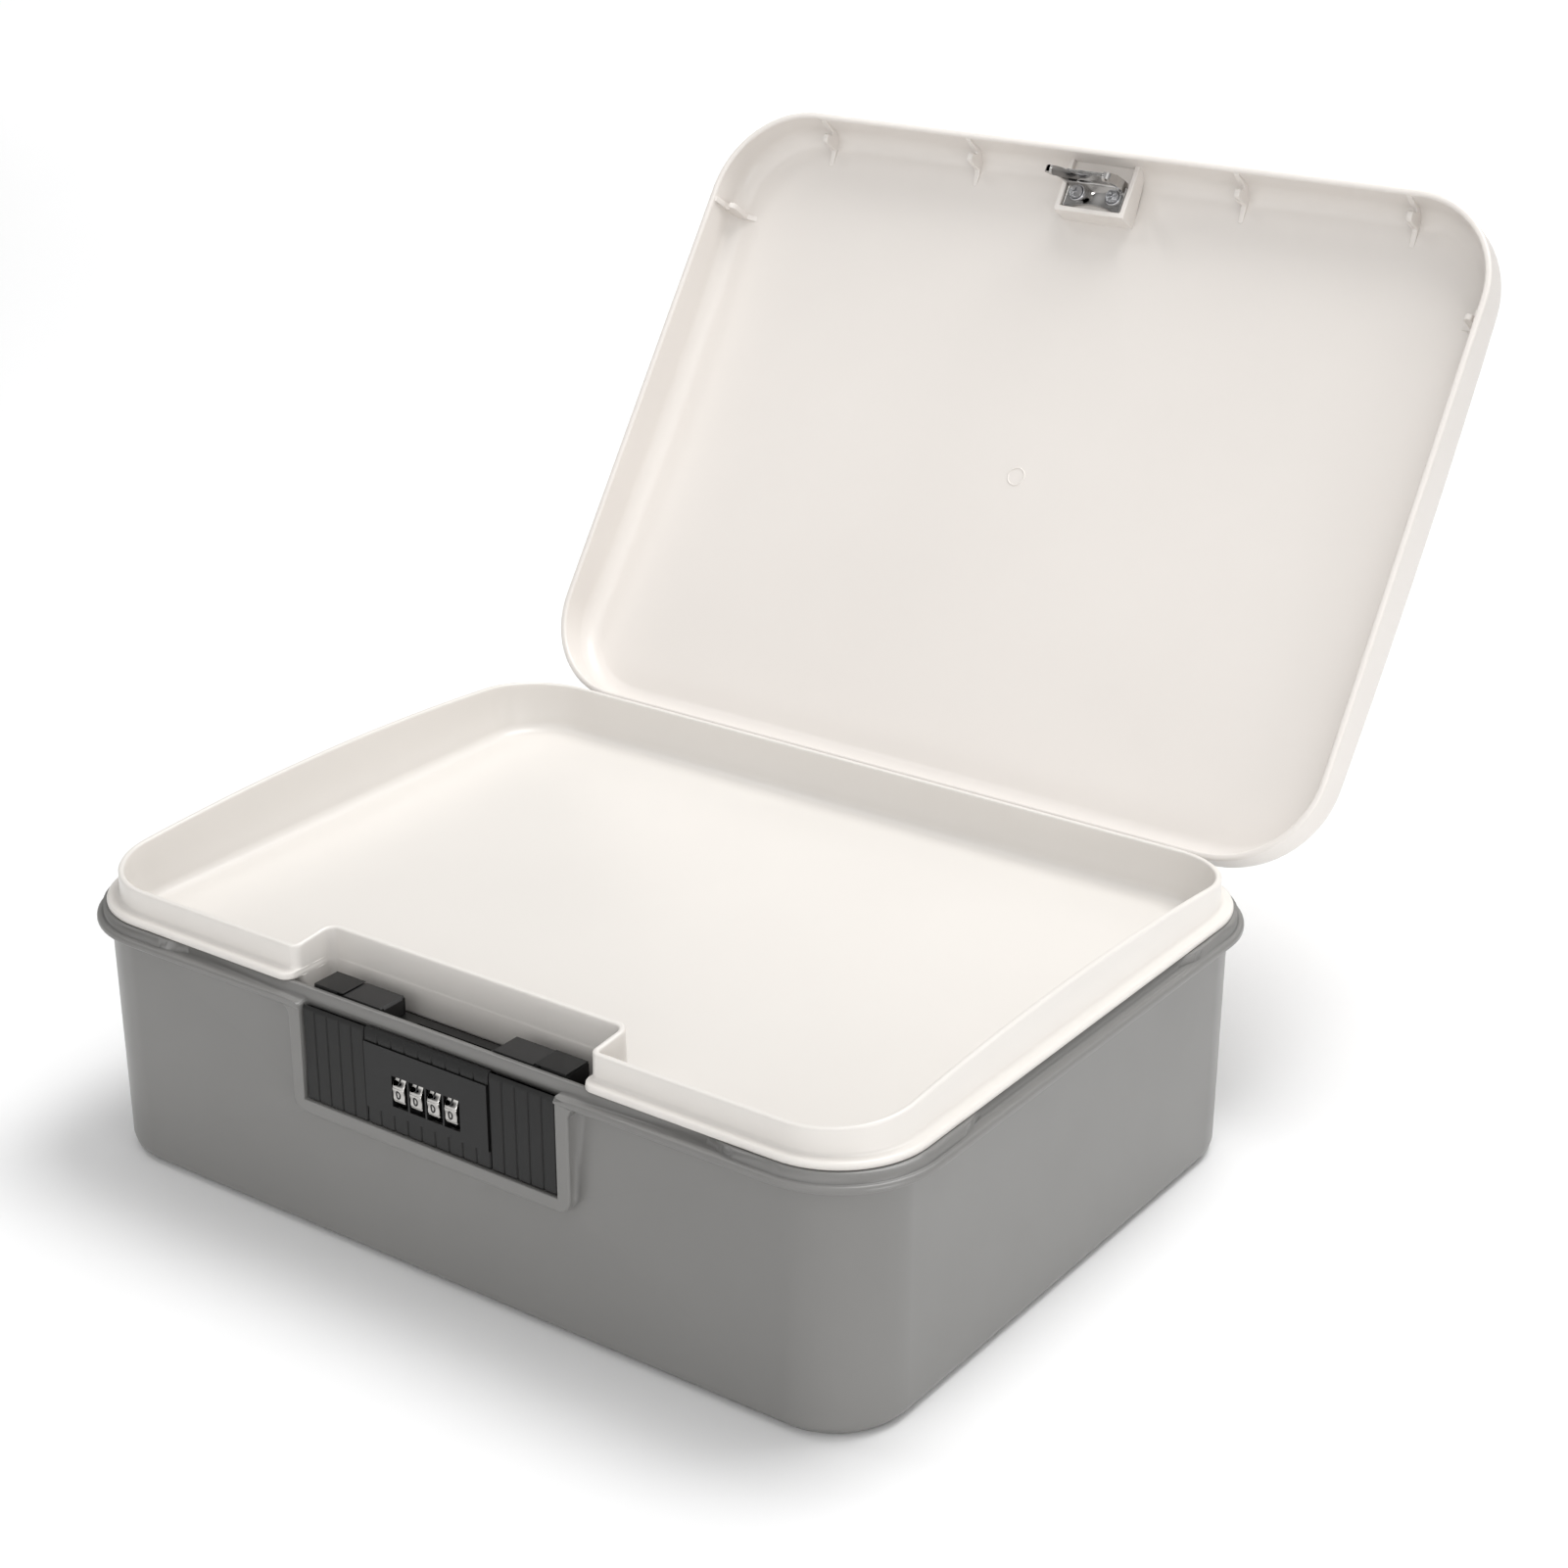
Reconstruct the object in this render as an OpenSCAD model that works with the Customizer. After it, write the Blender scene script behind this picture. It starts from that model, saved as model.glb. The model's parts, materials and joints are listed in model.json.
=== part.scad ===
// Combination lock box: a grey case, a white lift-out tray and a hinged white lid,
// held shut by a four-wheel combination lock with two press-in thumb pads.
// Origin: centre of the base on the ground. +X right, +Y back, +Z up. Millimetres.
// The lid is drawn open, resting on its stop, as in the photograph.

/* [Case] */
// Width over the rim
case_w = 320; // [280:1:380]
// Depth over the rim
case_d = 238; // [200:1:300]
// Height of the rim's ledge above the ground
rim_z = 85; // [78:0.1:140]
// Thickness of the rim's ledge
rim_t = 2.3; // [1.6:0.1:3.2]
// Corner radius of the rim
rim_r = 34.5; // [28:0.5:45]
// How far the rim stands out past the side walls
rim_side = 6.5; // [5:0.1:9]
// How far the rim stands out past the front and back walls
rim_front = 5; // [4:0.1:7]
// Wall thickness of the case
case_t = 2.6; // [1.8:0.1:3.2]
// Floor thickness of the case
floor_t = 2.8; // [2:0.1:4]
// Rounding of the bottom edge
base_round = 5; // [3:0.5:8]
// Draft of each wall, bottom to rim
case_draft = 0.6; // [0:0.1:1.5]
// Height of the raised lip inside the rim, which carries the tray
lip_h = 3; // [2.4:0.1:4]
// Distance from the rim's edge to the raised lip
lip_in = 4.6; // [4.6:0.1:5.4]
// Distance from the rim's edge to a corner bead
bead_in = 2.3; // [2.2:0.1:2.6]
// Length of a corner bead along the front, from the rim's corner
bead_x = 47; // [40:1:60]
// Length of a corner bead along the side, from the rim's corner
bead_y = 50; // [40:1:60]

/* [Tray] */
// Gap from the rim's edge to the tray's flange at the sides
tray_in_x = 4; // [3.5:0.1:5]
// Gap from the rim's edge to the tray's flange at front and back
tray_in_y = 3.5; // [3.3:0.1:4.5]
// Thickness of the tray's flange
flange_t = 2.4; // [1.6:0.1:3]
// Width of the flange outside the tray's wall
flange_w = 4.3; // [3.8:0.1:5]
// Wall thickness of the tray
tray_t = 2; // [1.4:0.1:2.4]
// Height of the front wall above the flange
upstand = 7.9; // [5:0.1:9]
// Rise of the side walls' arched edge above the front wall
arch = 5.8; // [2:0.1:7]
// Depth of the tray's floor below the top of the flange
tray_depth = 9.5; // [8:0.5:30]
// Width of the notch around the lock
notch_w = 115; // [112:0.5:130]
// Distance from the rim's front edge to the back of the notch
notch_d = 23.7; // [22.5:0.1:32]
// Corner radius of the notch
notch_r = 3; // [1:0.5:6]
// Rounding of the tray's front wall beside the notch
notch_out_r = 3; // [1:0.5:3.5]

/* [Lid] */
// How far the lid stands out past the rim at each side
lid_over_x = 1; // [0:0.1:1.2]
// How far the lid stands out past the rim at the front and the back
lid_over_y = 1.8; // [0:0.1:1.9]
// Wall thickness of the lid
lid_t = 2.4; // [1.8:0.1:2.6]
// Height of the lid's front edge
lid_edge_h = 17.2; // [15:0.1:24]
// Rise of the lid's top from its front edge to its middle
lid_crown = 5.8; // [5.8:0.1:9]
// Rounding between the lid's walls and top
lid_round = 8; // [4:0.5:10]
// Angle of the open lid from closed
open_angle = 124.3; // [95:0.1:130]
// Distance of the two middle clips from the centre
clip_mid_x = 56; // [40:1:80]
// Distance of the two outer clips from the rim's sides
clip_end = 38; // [37:1:60]
// Distance of the side clips from the lid's front edge
clip_side_y = 40; // [38:1:90]
// Thickness of a clip
clip_t = 2.2; // [1.2:0.1:3]

/* [Hinge] */
// Distance of each hinge from the rim's side
hinge_in = 65; // [55:1:90]
// Height of the hinge axis above the rim's ledge
hinge_up = 1.8; // [1:0.1:3]
// Outer radius of a knuckle
knuckle_r = 2.8; // [2.4:0.1:3]
// Radius of a hinge pin
pin_r = 1.25; // [1:0.05:1.5]
// Length of the lid's knuckle
lid_knuckle = 22; // [14:1:40]
// Length of each of the case's knuckles
case_knuckle = 10; // [6:1:20]

/* [Lock front] */
// Width of the black lock front
front_w = 99.4; // [96:0.2:104]
// Height of the black lock front
front_h = 31.8; // [31:0.1:33]
// Thickness of the front's skin
front_t = 2.2; // [1.8:0.1:2.4]
// How far the lock front lies behind the rim's edge
front_in = 1.4; // [1:0.1:1.6]
// Width of the raised frame around the lock front
frame_w = 4.7; // [4:0.1:7]
// Corner radius of the raised frame
frame_r = 5; // [2:0.5:8]
// Width of the fixed middle of the lock front
middle_w = 48.8; // [46:0.2:49]
// Height of the smooth window plate
plate_h = 22.4; // [18:0.2:23]
// How far the window plate stands out
plate_out = 0.5; // [0.2:0.1:1]
// Number of flutes on each thumb pad
pad_flutes = 5; // [3:1:8]
// Number of short flutes above and below the window plate
short_flutes = 9; // [5:1:12]
// Depth of a flute's groove
flute_d = 0.6; // [0.3:0.1:0.7]
// Height of the bevel along the top of the lock front
top_bevel = 1.6; // [0.6:0.1:2]
// Travel of a thumb pad
pad_travel = 2.2; // [2:0.1:2.4]

/* [Number wheels] */
// Spacing of the number wheels
wheel_pitch = 6.9; // [6.7:0.1:7.2]
// Width of a number wheel
wheel_w = 4.6; // [4:0.1:4.7]
// Radius of a number wheel over its ridges
wheel_r = 7.4; // [7.1:0.1:7.5]
// How far the wheels stand out of the window plate
wheel_proud = 1.1; // [0.8:0.1:1.2]
// Height of a window
window_h = 10.1; // [9.6:0.1:11]
// Gap between a wheel and the sides of its window
window_gap = 0.65; // [0.3:0.05:0.75]
// How far below the wheel's axis the shown number stands
number_down = 0.6; // [0:0.1:1.9]
// Height of the wheel axis above the bottom of the lock front
wheel_up = 14.4; // [14:0.1:16]
// Radius of the wheel shaft
shaft_r = 1.5; // [1.2:0.1:1.8]
// Radius of a gate sleeve
sleeve_r = 3; // [2.4:0.1:3.4]
// Radius of a code disc over its lobes
gate_r = 4.2; // [4:0.1:4.4]
// Width of a code disc's lobe
lobe_w = 1.2; // [0.8:0.1:1.3]

/* [Latch] */
// Distance from the centre to a tower's inner end
tower_x = 21.9; // [20:0.1:24]
// Height of the towers above the rim's ledge
tower_h = 3; // [2.6:0.1:4]
// Front-to-back size of a tower
tower_d = 10.4; // [9.5:0.1:11]
// Length of a tower's fixed cap
cap_l = 12.6; // [10:0.1:13]
// Distance from the centre to each hook
hook_x = 11; // [10:0.1:11.6]
// Thickness of the steel latch bracket
bracket_t = 1.2; // [0.8:0.1:1.6]
// Height of the bracket's plate above the lid's lip
bracket_h = 9.1; // [8:0.1:11]
// How far the hooks reach below the lid's lip
hook_reach = 9.7; // [9:0.1:10.4]
// Radius of a latch spring
spring_r = 1.6; // [1.2:0.1:1.8]
// Wire radius of a latch spring
spring_wire = 0.25; // [0.2:0.05:0.4]

/* [Screws] */
// Shank radius of the small screws
screw_r = 0.8; // [0.6:0.05:1]
// Head radius of the small screws
screw_head_r = 1.6; // [1.2:0.05:1.6]
// Shank radius of the bracket and housing screws
big_screw_r = 1.1; // [0.9:0.05:1.3]
// Head radius of the bracket and housing screws
big_head_r = 1.9; // [1.6:0.05:2.1]

/* [Hidden] */
$fn = 48;
e = 0.01;
// Clearances: parts that lie on each other, parts that slide, and a shaft in its bore
seat = 0.1;
slide = 0.3;
run = 0.05;
press = 0.02;

front_y = -case_d / 2;
back_y = case_d / 2;
wall_w = case_w - 2 * rim_side;
wall_d = case_d - 2 * rim_front;
wall_r = rim_r - (rim_side + rim_front) / 2 - 2.7;
cavity_w = wall_w - 2 * case_t;
cavity_d = wall_d - 2 * case_t;
cavity_y = -cavity_d / 2;
bead_w = case_w - 2 * bead_in;
bead_d = case_d - 2 * bead_in;
lip_w = case_w - 2 * lip_in;
lip_d = case_d - 2 * lip_in;
lip_y = -lip_d / 2;
lip_step = 0.9;
bead_ease = 12;
lip_z = rim_z + lip_h;

// Tray levels and outlines
flange_z0 = lip_z + seat;
flange_z1 = flange_z0 + flange_t;
tray_w = case_w - 2 * tray_in_x;
tray_d = case_d - 2 * tray_in_y;
tray_r = rim_r - tray_in_x;
up_w = tray_w - 2 * flange_w;
up_d = tray_d - 2 * flange_w;
up_r = tray_r - flange_w;
basin_w = min(up_w, cavity_w + 2 * lip_step) - 2 * slide;
basin_d = min(up_d, cavity_d + 2 * lip_step) - 2 * slide;
tray_floor = flange_z1 - tray_depth;
basin_in = 2;
notch_y = front_y + notch_d;
notch_step = 0.5;

// Lid, drawn closed and then turned open about the hinge axis
lid_z = rim_z + 2 * seat;
lid_w = case_w + 2 * lid_over_x;
lid_d = case_d + 2 * lid_over_y;
lid_r = rim_r + lid_over_x;
lid_in_w = lid_w - 2 * lid_t;
lid_in_d = lid_d - 2 * lid_t;
hinge_x = case_w / 2 - hinge_in;
clip_end_x = case_w / 2 - clip_end;
hinge_y = back_y + lid_over_y + knuckle_r + slide;
hinge_z = rim_z + hinge_up;
knuckle_gap = 0.4;
pin_l = lid_knuckle + 2 * case_knuckle + 2 * knuckle_gap;

// Lock front
skin_y = front_y + front_in;
skin_back = skin_y + front_t;
bar_z = rim_z - rim_t;
front_z1 = rim_z - 1.1;
front_z0 = front_z1 - front_h;
pad_step_z = bar_z - 0.8;
opening_w = front_w + 2 * (slide + seat) + 0.6;
opening_z0 = front_z0 - 2 * slide;
frame_y = front_y + 0.4;
plate_z0 = front_z0 + (front_h - plate_h) * 0.58;
plate_z1 = plate_z0 + plate_h;

// Lock housing, between the case's front wall and the tray's notch
base_plate_t = 2;
house_t = 1.6;
tower_y0 = front_y + 7;
tower_y1 = tower_y0 + tower_d;
tower_end = front_w / 2;
plate_y0 = skin_back + pad_travel + 0.1 - e;
flange_y0 = cavity_y + seat
  + case_draft * (rim_z - opening_z0 + frame_w) / (rim_z - floor_t - base_round + 2);
plate_y1 = flange_y0 + base_plate_t;
house_z0 = front_z0 - 0.7;
roof_z1 = bar_z - seat;
roof_z0 = roof_z1 - 1.8;
tower_z1 = rim_z + tower_h;
cap_t = 1.1;
cover_t = 1.4;
head_t = 1.3;

// Number wheels
wheel_y = skin_y - plate_out - wheel_proud + wheel_r;
wheel_z = front_z0 + wheel_up;
ridge_h = 0.4;
window_w = wheel_w + 2 * window_gap;
window_down = 0.4;
cheek_x = 2 * wheel_pitch + 2.6;
cheek_t = 2;
gate_t = 1.3;
tooth_t = 1;
tooth_d = 0.8;
tooth_bite = 0.4;
function wheel_x(i) = (i - 2.5) * wheel_pitch;

// Latch bolts
bolt_y0 = tower_y0 + 1.1;
bolt_y1 = tower_y1 - 1.1;
bolt_z0 = roof_z1 + slide;
bolt_z1 = tower_z1 - cap_t - 0.2;
slide_cap_z1 = tower_z1 + seat + 0.4;
bolt_tail = tower_end - 7.3;
nose_z1 = roof_z0 - slide;
nose_z0 = nose_z1 - 2;
nose_x = hook_x + bracket_t / 2 + slide;
spring_y = (bolt_y0 + bolt_y1) / 2;
spring_z = (bolt_z0 + bolt_z1) / 2;
spring_x0 = bolt_tail - 6.5;
spring_x1 = tower_end - house_t;

// Hooks of the lid's bracket, in the closed position
plate_z = lid_z + bracket_h;
hook_z0 = lid_z - hook_reach;
hook_y0 = tower_y0 + 0.4;
stem_w = 4.4;
stem_y0 = hook_y0 + 2.4;
tab_w = pad_travel - slide;
tab_z1 = nose_z0 - slide;
nose_y0 = plate_y1 + head_t + slide;
nose_y1 = stem_y0 + stem_w + 0.2;
bracket_w = 24;
bracket_d = 11;
boss_w = 29.2;
boss_t = 2;
boss_y1 = hook_y0 + bracket_d + 2.4;
boss_z0 = plate_z - 2.1;
screw_x = 7.6;
screw_y = hook_y0 + 5.6;

// Wedge between each pad and its bolt
wedge_x0 = 26;
wedge_w = 5;
wedge_y = plate_y1 - 2.4;
wedge_z0 = wheel_z;
wedge_h = 10;
wedge_z1 = wedge_z0 + wedge_h;
wedge_gap = 0.28;
neck_x1 = wedge_x0 + wedge_w + 3;
arm_h = 1.6;
arm_z1 = wheel_z - wheel_r - 0.5;
arm_z0 = arm_z1 - arm_h;
tooth_z1 = wheel_z - gate_r + tooth_bite;
tooth_y1 = wheel_y - sqrt(gate_r * gate_r + lobe_w * lobe_w / 4 - pow(gate_r - tooth_bite, 2)) - 0.06;
post_x = 42;
post_r = 1.5;
post_z = [front_z0 + 4.8, front_z1 - 6];
cover_screw_x = 21.5;
cover_screw_z = [front_z0 + 2.5, front_z1 - 4.7];
corner_x = front_w / 2 - 2.1;
corner_z = [house_z0 + 2.2, roof_z1 - 2.2];
side_screw_x = opening_w / 2 + frame_w / 2;
side_screw_z = [front_z0 + 2, front_z1 - 6];

// Flat rounded rectangle, centred
module rounded(w, d, r) {
  square([w - 2 * r, d], center = true);
  square([w, d - 2 * r], center = true);
  for (x = [-1, 1], y = [-1, 1]) translate([x * (w / 2 - r), y * (d / 2 - r)]) circle(r);
}

// Rounded slab between two heights
module slab(w, d, r, z0, z1) {
  translate([0, 0, z0]) linear_extrude(z1 - z0) rounded(w, d, r);
}

// Box from one corner to the other
module box(a, b) {
  translate(a) cube([b[0] - a[0], b[1] - a[1], b[2] - a[2]]);
}

// Rod along X or along Y
module rod_x(r, x0, x1, y, z) {
  translate([x0, y, z]) rotate([0, 90, 0]) cylinder(r = r, h = x1 - x0);
}
module rod_y(r, y0, y1, x, z) {
  translate([x, y0, z]) rotate([-90, 0, 0]) cylinder(r = r, h = y1 - y0);
}

// A shape drawn in Y and Z, as wide as w about x
module profile_yz(points, x, w) {
  translate([x - w / 2, 0, 0]) rotate([90, 0, 90]) linear_extrude(w) polygon(points);
}

// A flat shape drawn in X and Z, from y0 to y1
module face_xz(y0, y1) {
  translate([0, y1, 0]) rotate([90, 0, 0]) linear_extrude(y1 - y0) children();
}

module both_sides() {
  children();
  mirror([1, 0, 0]) children();
}

// Case

module case_form(w, d, r, z0, z1, round, draft) {
  hull() {
    for (a = [0, 30, 60, 90]) {
      in = round * (1 - sin(a)) + draft;
      z = z0 + round * (1 - cos(a));
      slab(w - 2 * in, d - 2 * in, r - in, z, z + e);
    }
    slab(w, d, r, z1 - e, z1);
  }
}

// What is left out between two corner beads: its depth eases in over bead_ease at both ends
module bead_gap(half, edge) {
  depth = lip_in - bead_in + e;
  ease = [for (i = [0 : 8]) [bead_ease * i / 8, depth * (1 - cos(22.5 * i)) / 2]];
  translate([0, -edge, rim_z]) linear_extrude(lip_h + 1)
    polygon(concat([[-half, -9]], [for (q = ease) [q[0] - half, q[1]]],
      [for (i = [8 : -1 : 0]) [half - ease[i][0], ease[i][1]]], [[half, -9]]));
}

// Raised lip inside the rim's ledge, thicker around the four corners
module raised_lip() {
  slab(lip_w, lip_d, rim_r - lip_in, rim_z - e, lip_z);
  difference() {
    slab(bead_w, bead_d, rim_r - bead_in, rim_z - e, lip_z);
    for (turned = [0, 180]) rotate([0, 0, turned]) {
      bead_gap(case_w / 2 - bead_x, bead_d / 2);
      rotate([0, 0, 90]) bead_gap(case_d / 2 - bead_y, bead_w / 2);
    }
  }
}

// Raised frame around the lock, run into the rim above it
module lock_frame() {
  half = opening_w / 2 + frame_w;
  low = opening_z0 - frame_w;
  face_xz(frame_y, -wall_d / 2 + 1) {
    translate([-half, low + frame_r]) square([2 * half, bar_z - low - frame_r + e]);
    translate([-half + frame_r, low]) square([2 * (half - frame_r), frame_r + e]);
    for (s = [-1, 1]) {
      translate([s * (half - frame_r), low + frame_r]) circle(frame_r);
      translate([s * half, bar_z]) difference() {
        translate([s > 0 ? -e : -4, -4]) square([4 + e, 4 + e]);
        translate([s * 4, -4]) circle(4);
      }
    }
  }
}

module case_knuckles() {
  for (s = [-1, 1], k = [-1, 1]) {
    x0 = s * hinge_x + (k < 0 ? -pin_l / 2 : lid_knuckle / 2 + knuckle_gap);
    rod_x(knuckle_r, x0, x0 + case_knuckle, hinge_y, hinge_z);
    box([x0, back_y - 1, bar_z], [x0 + case_knuckle, hinge_y, rim_z - seat]);
  }
}

module case() {
  color("#80807c") difference() {
    union() {
      case_form(wall_w, wall_d, wall_r, 0, rim_z, base_round, case_draft);
      slab(case_w, case_d, rim_r, bar_z, rim_z);
      raised_lip();
      lock_frame();
      case_knuckles();
    }
    case_form(cavity_w, cavity_d, wall_r - case_t, floor_t, rim_z, base_round - 2, case_draft);
    slab(cavity_w + 2 * lip_step, cavity_d + 2 * lip_step, wall_r - case_t + lip_step, rim_z - 1, lip_z + 1);
    // Opening for the lock front: the ledge stops at its sides, the lip runs on above it as a bar
    box([-opening_w / 2, front_y - 1, opening_z0], [opening_w / 2, cavity_y + 3, bar_z]);
    box([-opening_w / 2, front_y - 1, bar_z - 1], [opening_w / 2, lip_y, rim_z + e]);
    box([-opening_w / 2, tower_y0 - slide, bar_z - 1], [opening_w / 2, cavity_y + 3, rim_z + 1]);
    for (s = [-1, 1], z = side_screw_z)
      rod_y(big_screw_r, frame_y + 1.6, cavity_y + 1, s * side_screw_x, z);
    for (s = [-1, 1])
      rod_x(pin_r + press, s * hinge_x - pin_l, s * hinge_x + pin_l, hinge_y, hinge_z);
  }
}

module hinge_pin(s) {
  color("#b9bbbd") rod_x(pin_r, s * hinge_x - pin_l / 2 + 0.2, s * hinge_x + pin_l / 2 - 0.2,
    hinge_y, hinge_z);
}

// Tray

// Long cylinder along X whose top is z at y = 0 and drops by rise at y = half
module arch_form(z, half, rise, w) {
  rho = (half * half + rise * rise) / (2 * rise);
  translate([0, 0, z - rho]) rotate([0, 90, 0]) cylinder(r = rho, h = w, center = true, $fn = 540);
}

module notch_form(grow, z0, z1) {
  w = notch_w + 2 * grow;
  r = notch_r + grow;
  translate([0, 0, z0]) linear_extrude(z1 - z0) {
    translate([-w / 2, front_y - 5]) square([w, notch_y + grow - r - front_y + 5]);
    translate([-w / 2 + r, notch_y + grow - r - e]) square([w - 2 * r, r + e]);
    for (s = [-1, 1]) translate([s * (w / 2 - r), notch_y + grow - r]) circle(r);
  }
}

// Takes the sharp corner off where the notch meets a front edge at y
module notch_corner(r, y, z0, z1) {
  both_sides() translate([notch_w / 2, y, z0]) difference() {
    translate([-1, -1, 0]) cube([r + 1, r + 1, z1 - z0]);
    translate([r, r, -1]) cylinder(r = r, h = z1 - z0 + 2);
  }
}

module tray() {
  top = flange_z1 + upstand + arch;
  low = tray_floor - tray_t;
  color("#e6e2dc") difference() {
    union() {
      intersection() {
        slab(up_w, up_d, up_r, flange_z0, top + 1);
        arch_form(top, up_d / 2, arch, case_w);
      }
      slab(tray_w, tray_d, tray_r, flange_z0, flange_z1);
      hull() {
        slab(basin_w, basin_d, up_r - slide, flange_z0 - e, flange_z0);
        slab(basin_w - 2 * basin_in, basin_d - 2 * basin_in, up_r - basin_in, low + 1, low + 1 + e);
        slab(basin_w - 2 * basin_in - 2, basin_d - 2 * basin_in - 2, up_r - basin_in - 1, low, low + e);
      }
    }
    notch_form(0, flange_z0, top + 1);
    notch_form(-notch_step, low - 1, flange_z0 + 1);
    notch_corner(notch_out_r, -up_d / 2, flange_z1, top + 1);
    notch_corner(notch_out_r + 1, -tray_d / 2, flange_z0 - e, flange_z1);
    difference() {
      hull() {
        slab(up_w - 2 * tray_t, up_d - 2 * tray_t, up_r - tray_t, top, top + 2);
        slab(up_w - 2 * tray_t - 0.4, up_d - 2 * tray_t - 0.4, up_r - tray_t, flange_z1 - e, flange_z1);
        slab(basin_w - 2 * basin_in - 2 * tray_t, basin_d - 2 * basin_in - 2 * tray_t,
          up_r - basin_in - tray_t, tray_floor, tray_floor + e);
      }
      notch_form(tray_t, low - 2, top + 3);
    }
  }
}

// Lid, as if closed

module crowned(w, d, r, z0, edge, in, drop) {
  intersection() {
    slab(w - 2 * in, d - 2 * in, r - in, z0, z0 + edge + lid_crown + 5);
    arch_form(z0 + edge + lid_crown - drop, d / 2, lid_crown, w + 10);
  }
}

module lid_form(w, d, r, z0, z_lip, edge, round) {
  hull() {
    slab(w, d, r, z_lip, z_lip + e);
    for (a = [10, 40, 65, 90])
      crowned(w, d, r, z0, edge, 0.4 + round * (1 - cos(a)), round * (1 - sin(a)));
  }
}

// Clip profile: a thin root on the wall, a notch, and a beak that ends just above the tray's flange
module clip_profile(reach) {
  h = lid_edge_h + 2;
  tip = flange_z1 - lid_z + 2 * slide;
  polygon([[-1, 1], [0.4, 1], [0.5, lip_h + 0.4], [1.5, tip + 1], [2.1, tip + 1.6], [2.7, tip + 1], [3.3, tip], [reach - 1.6, tip],
    [reach - 0.5, tip + 0.6], [reach, tip + 1.8], [reach, h], [reach, h + 1.5], [-1, h + 1.5]]);
}

module lid_clips() {
  intersection() {
    union() {
      for (x = [-clip_end_x, -clip_mid_x, clip_mid_x, clip_end_x])
        translate([x - clip_t / 2, -lid_in_d / 2, lid_z]) rotate([90, 0, 90])
          linear_extrude(clip_t) clip_profile((lid_in_d - up_d) / 2 - 2 * slide);
      for (s = [-1, 1])
        translate([s * lid_in_w / 2, -lid_d / 2 + clip_side_y + s * clip_t / 2, lid_z])
          rotate([90, 0, s > 0 ? 180 : 0]) linear_extrude(clip_t)
            clip_profile((lid_in_w - up_w) / 2 - 2 * slide);
    }
    lid_form(lid_w - 1, lid_d - 1, lid_r - 0.5, lid_z, lid_z, lid_edge_h - 1, lid_round);
  }
}

// Boss that carries the latch bracket, with a recess for the bracket's plate
module latch_boss() {
  difference() {
    intersection() {
      box([-boss_w / 2, -lid_d / 2 + 1, boss_z0], [boss_w / 2, boss_y1, lid_z + lid_edge_h + 4]);
      lid_form(lid_w - 1, lid_d - 1, lid_r - 0.5, lid_z, lid_z, lid_edge_h - 1, lid_round);
    }
    box([-boss_w / 2 + boss_t, -lid_in_d / 2, boss_z0 - 1],
      [boss_w / 2 - boss_t, boss_y1 - boss_t, plate_z]);
    for (s = [-1, 1]) translate([s * screw_x, screw_y, plate_z - 1]) cylinder(r = big_screw_r, h = 6);
  }
}

module lid_knuckles() {
  for (s = [-1, 1]) {
    x0 = s * hinge_x - lid_knuckle / 2;
    rod_x(knuckle_r, x0, x0 + lid_knuckle, hinge_y, hinge_z);
    box([x0, lid_d / 2 - 1, hinge_z - 1], [x0 + lid_knuckle, hinge_y, hinge_z + knuckle_r - 0.6]);
  }
}

// Faint moulded ring in the middle of the lid's inside
module gate_ring() {
  top = lid_z + lid_edge_h - lid_t + lid_crown;
  translate([0, 0, top - 0.4]) difference() {
    cylinder(r = 3.6, h = 1);
    translate([0, 0, -1]) cylinder(r = 3, h = 3);
  }
}

module turn_lid(angle) {
  translate([0, hinge_y, hinge_z]) rotate([angle, 0, 0]) translate([0, -hinge_y, -hinge_z]) children();
}

module lid() {
  color("#e8e4de") difference() {
    union() {
      turn_lid(-open_angle) {
        difference() {
          lid_form(lid_w, lid_d, lid_r, lid_z, lid_z, lid_edge_h, lid_round);
          lid_form(lid_in_w, lid_in_d, lid_r - lid_t, lid_z, lid_z - 1, lid_edge_h - lid_t,
            lid_round - lid_t);
        }
        lid_clips();
        latch_boss();
        lid_knuckles();
        gate_ring();
      }
      // Stop lugs: the open lid rests with these against the rim's back edge
      for (s = [-1, 1])
        box([s * hinge_x - lid_knuckle / 2, back_y + 2 * seat, bar_z + 0.4],
          [s * hinge_x + lid_knuckle / 2, hinge_y - 0.4, bar_z + 2.6]);
    }
    for (s = [-1, 1])
      rod_x(pin_r + run, s * hinge_x - lid_knuckle, s * hinge_x + lid_knuckle, hinge_y, hinge_z);
  }
}

// Steel bracket with two hooks

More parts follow.
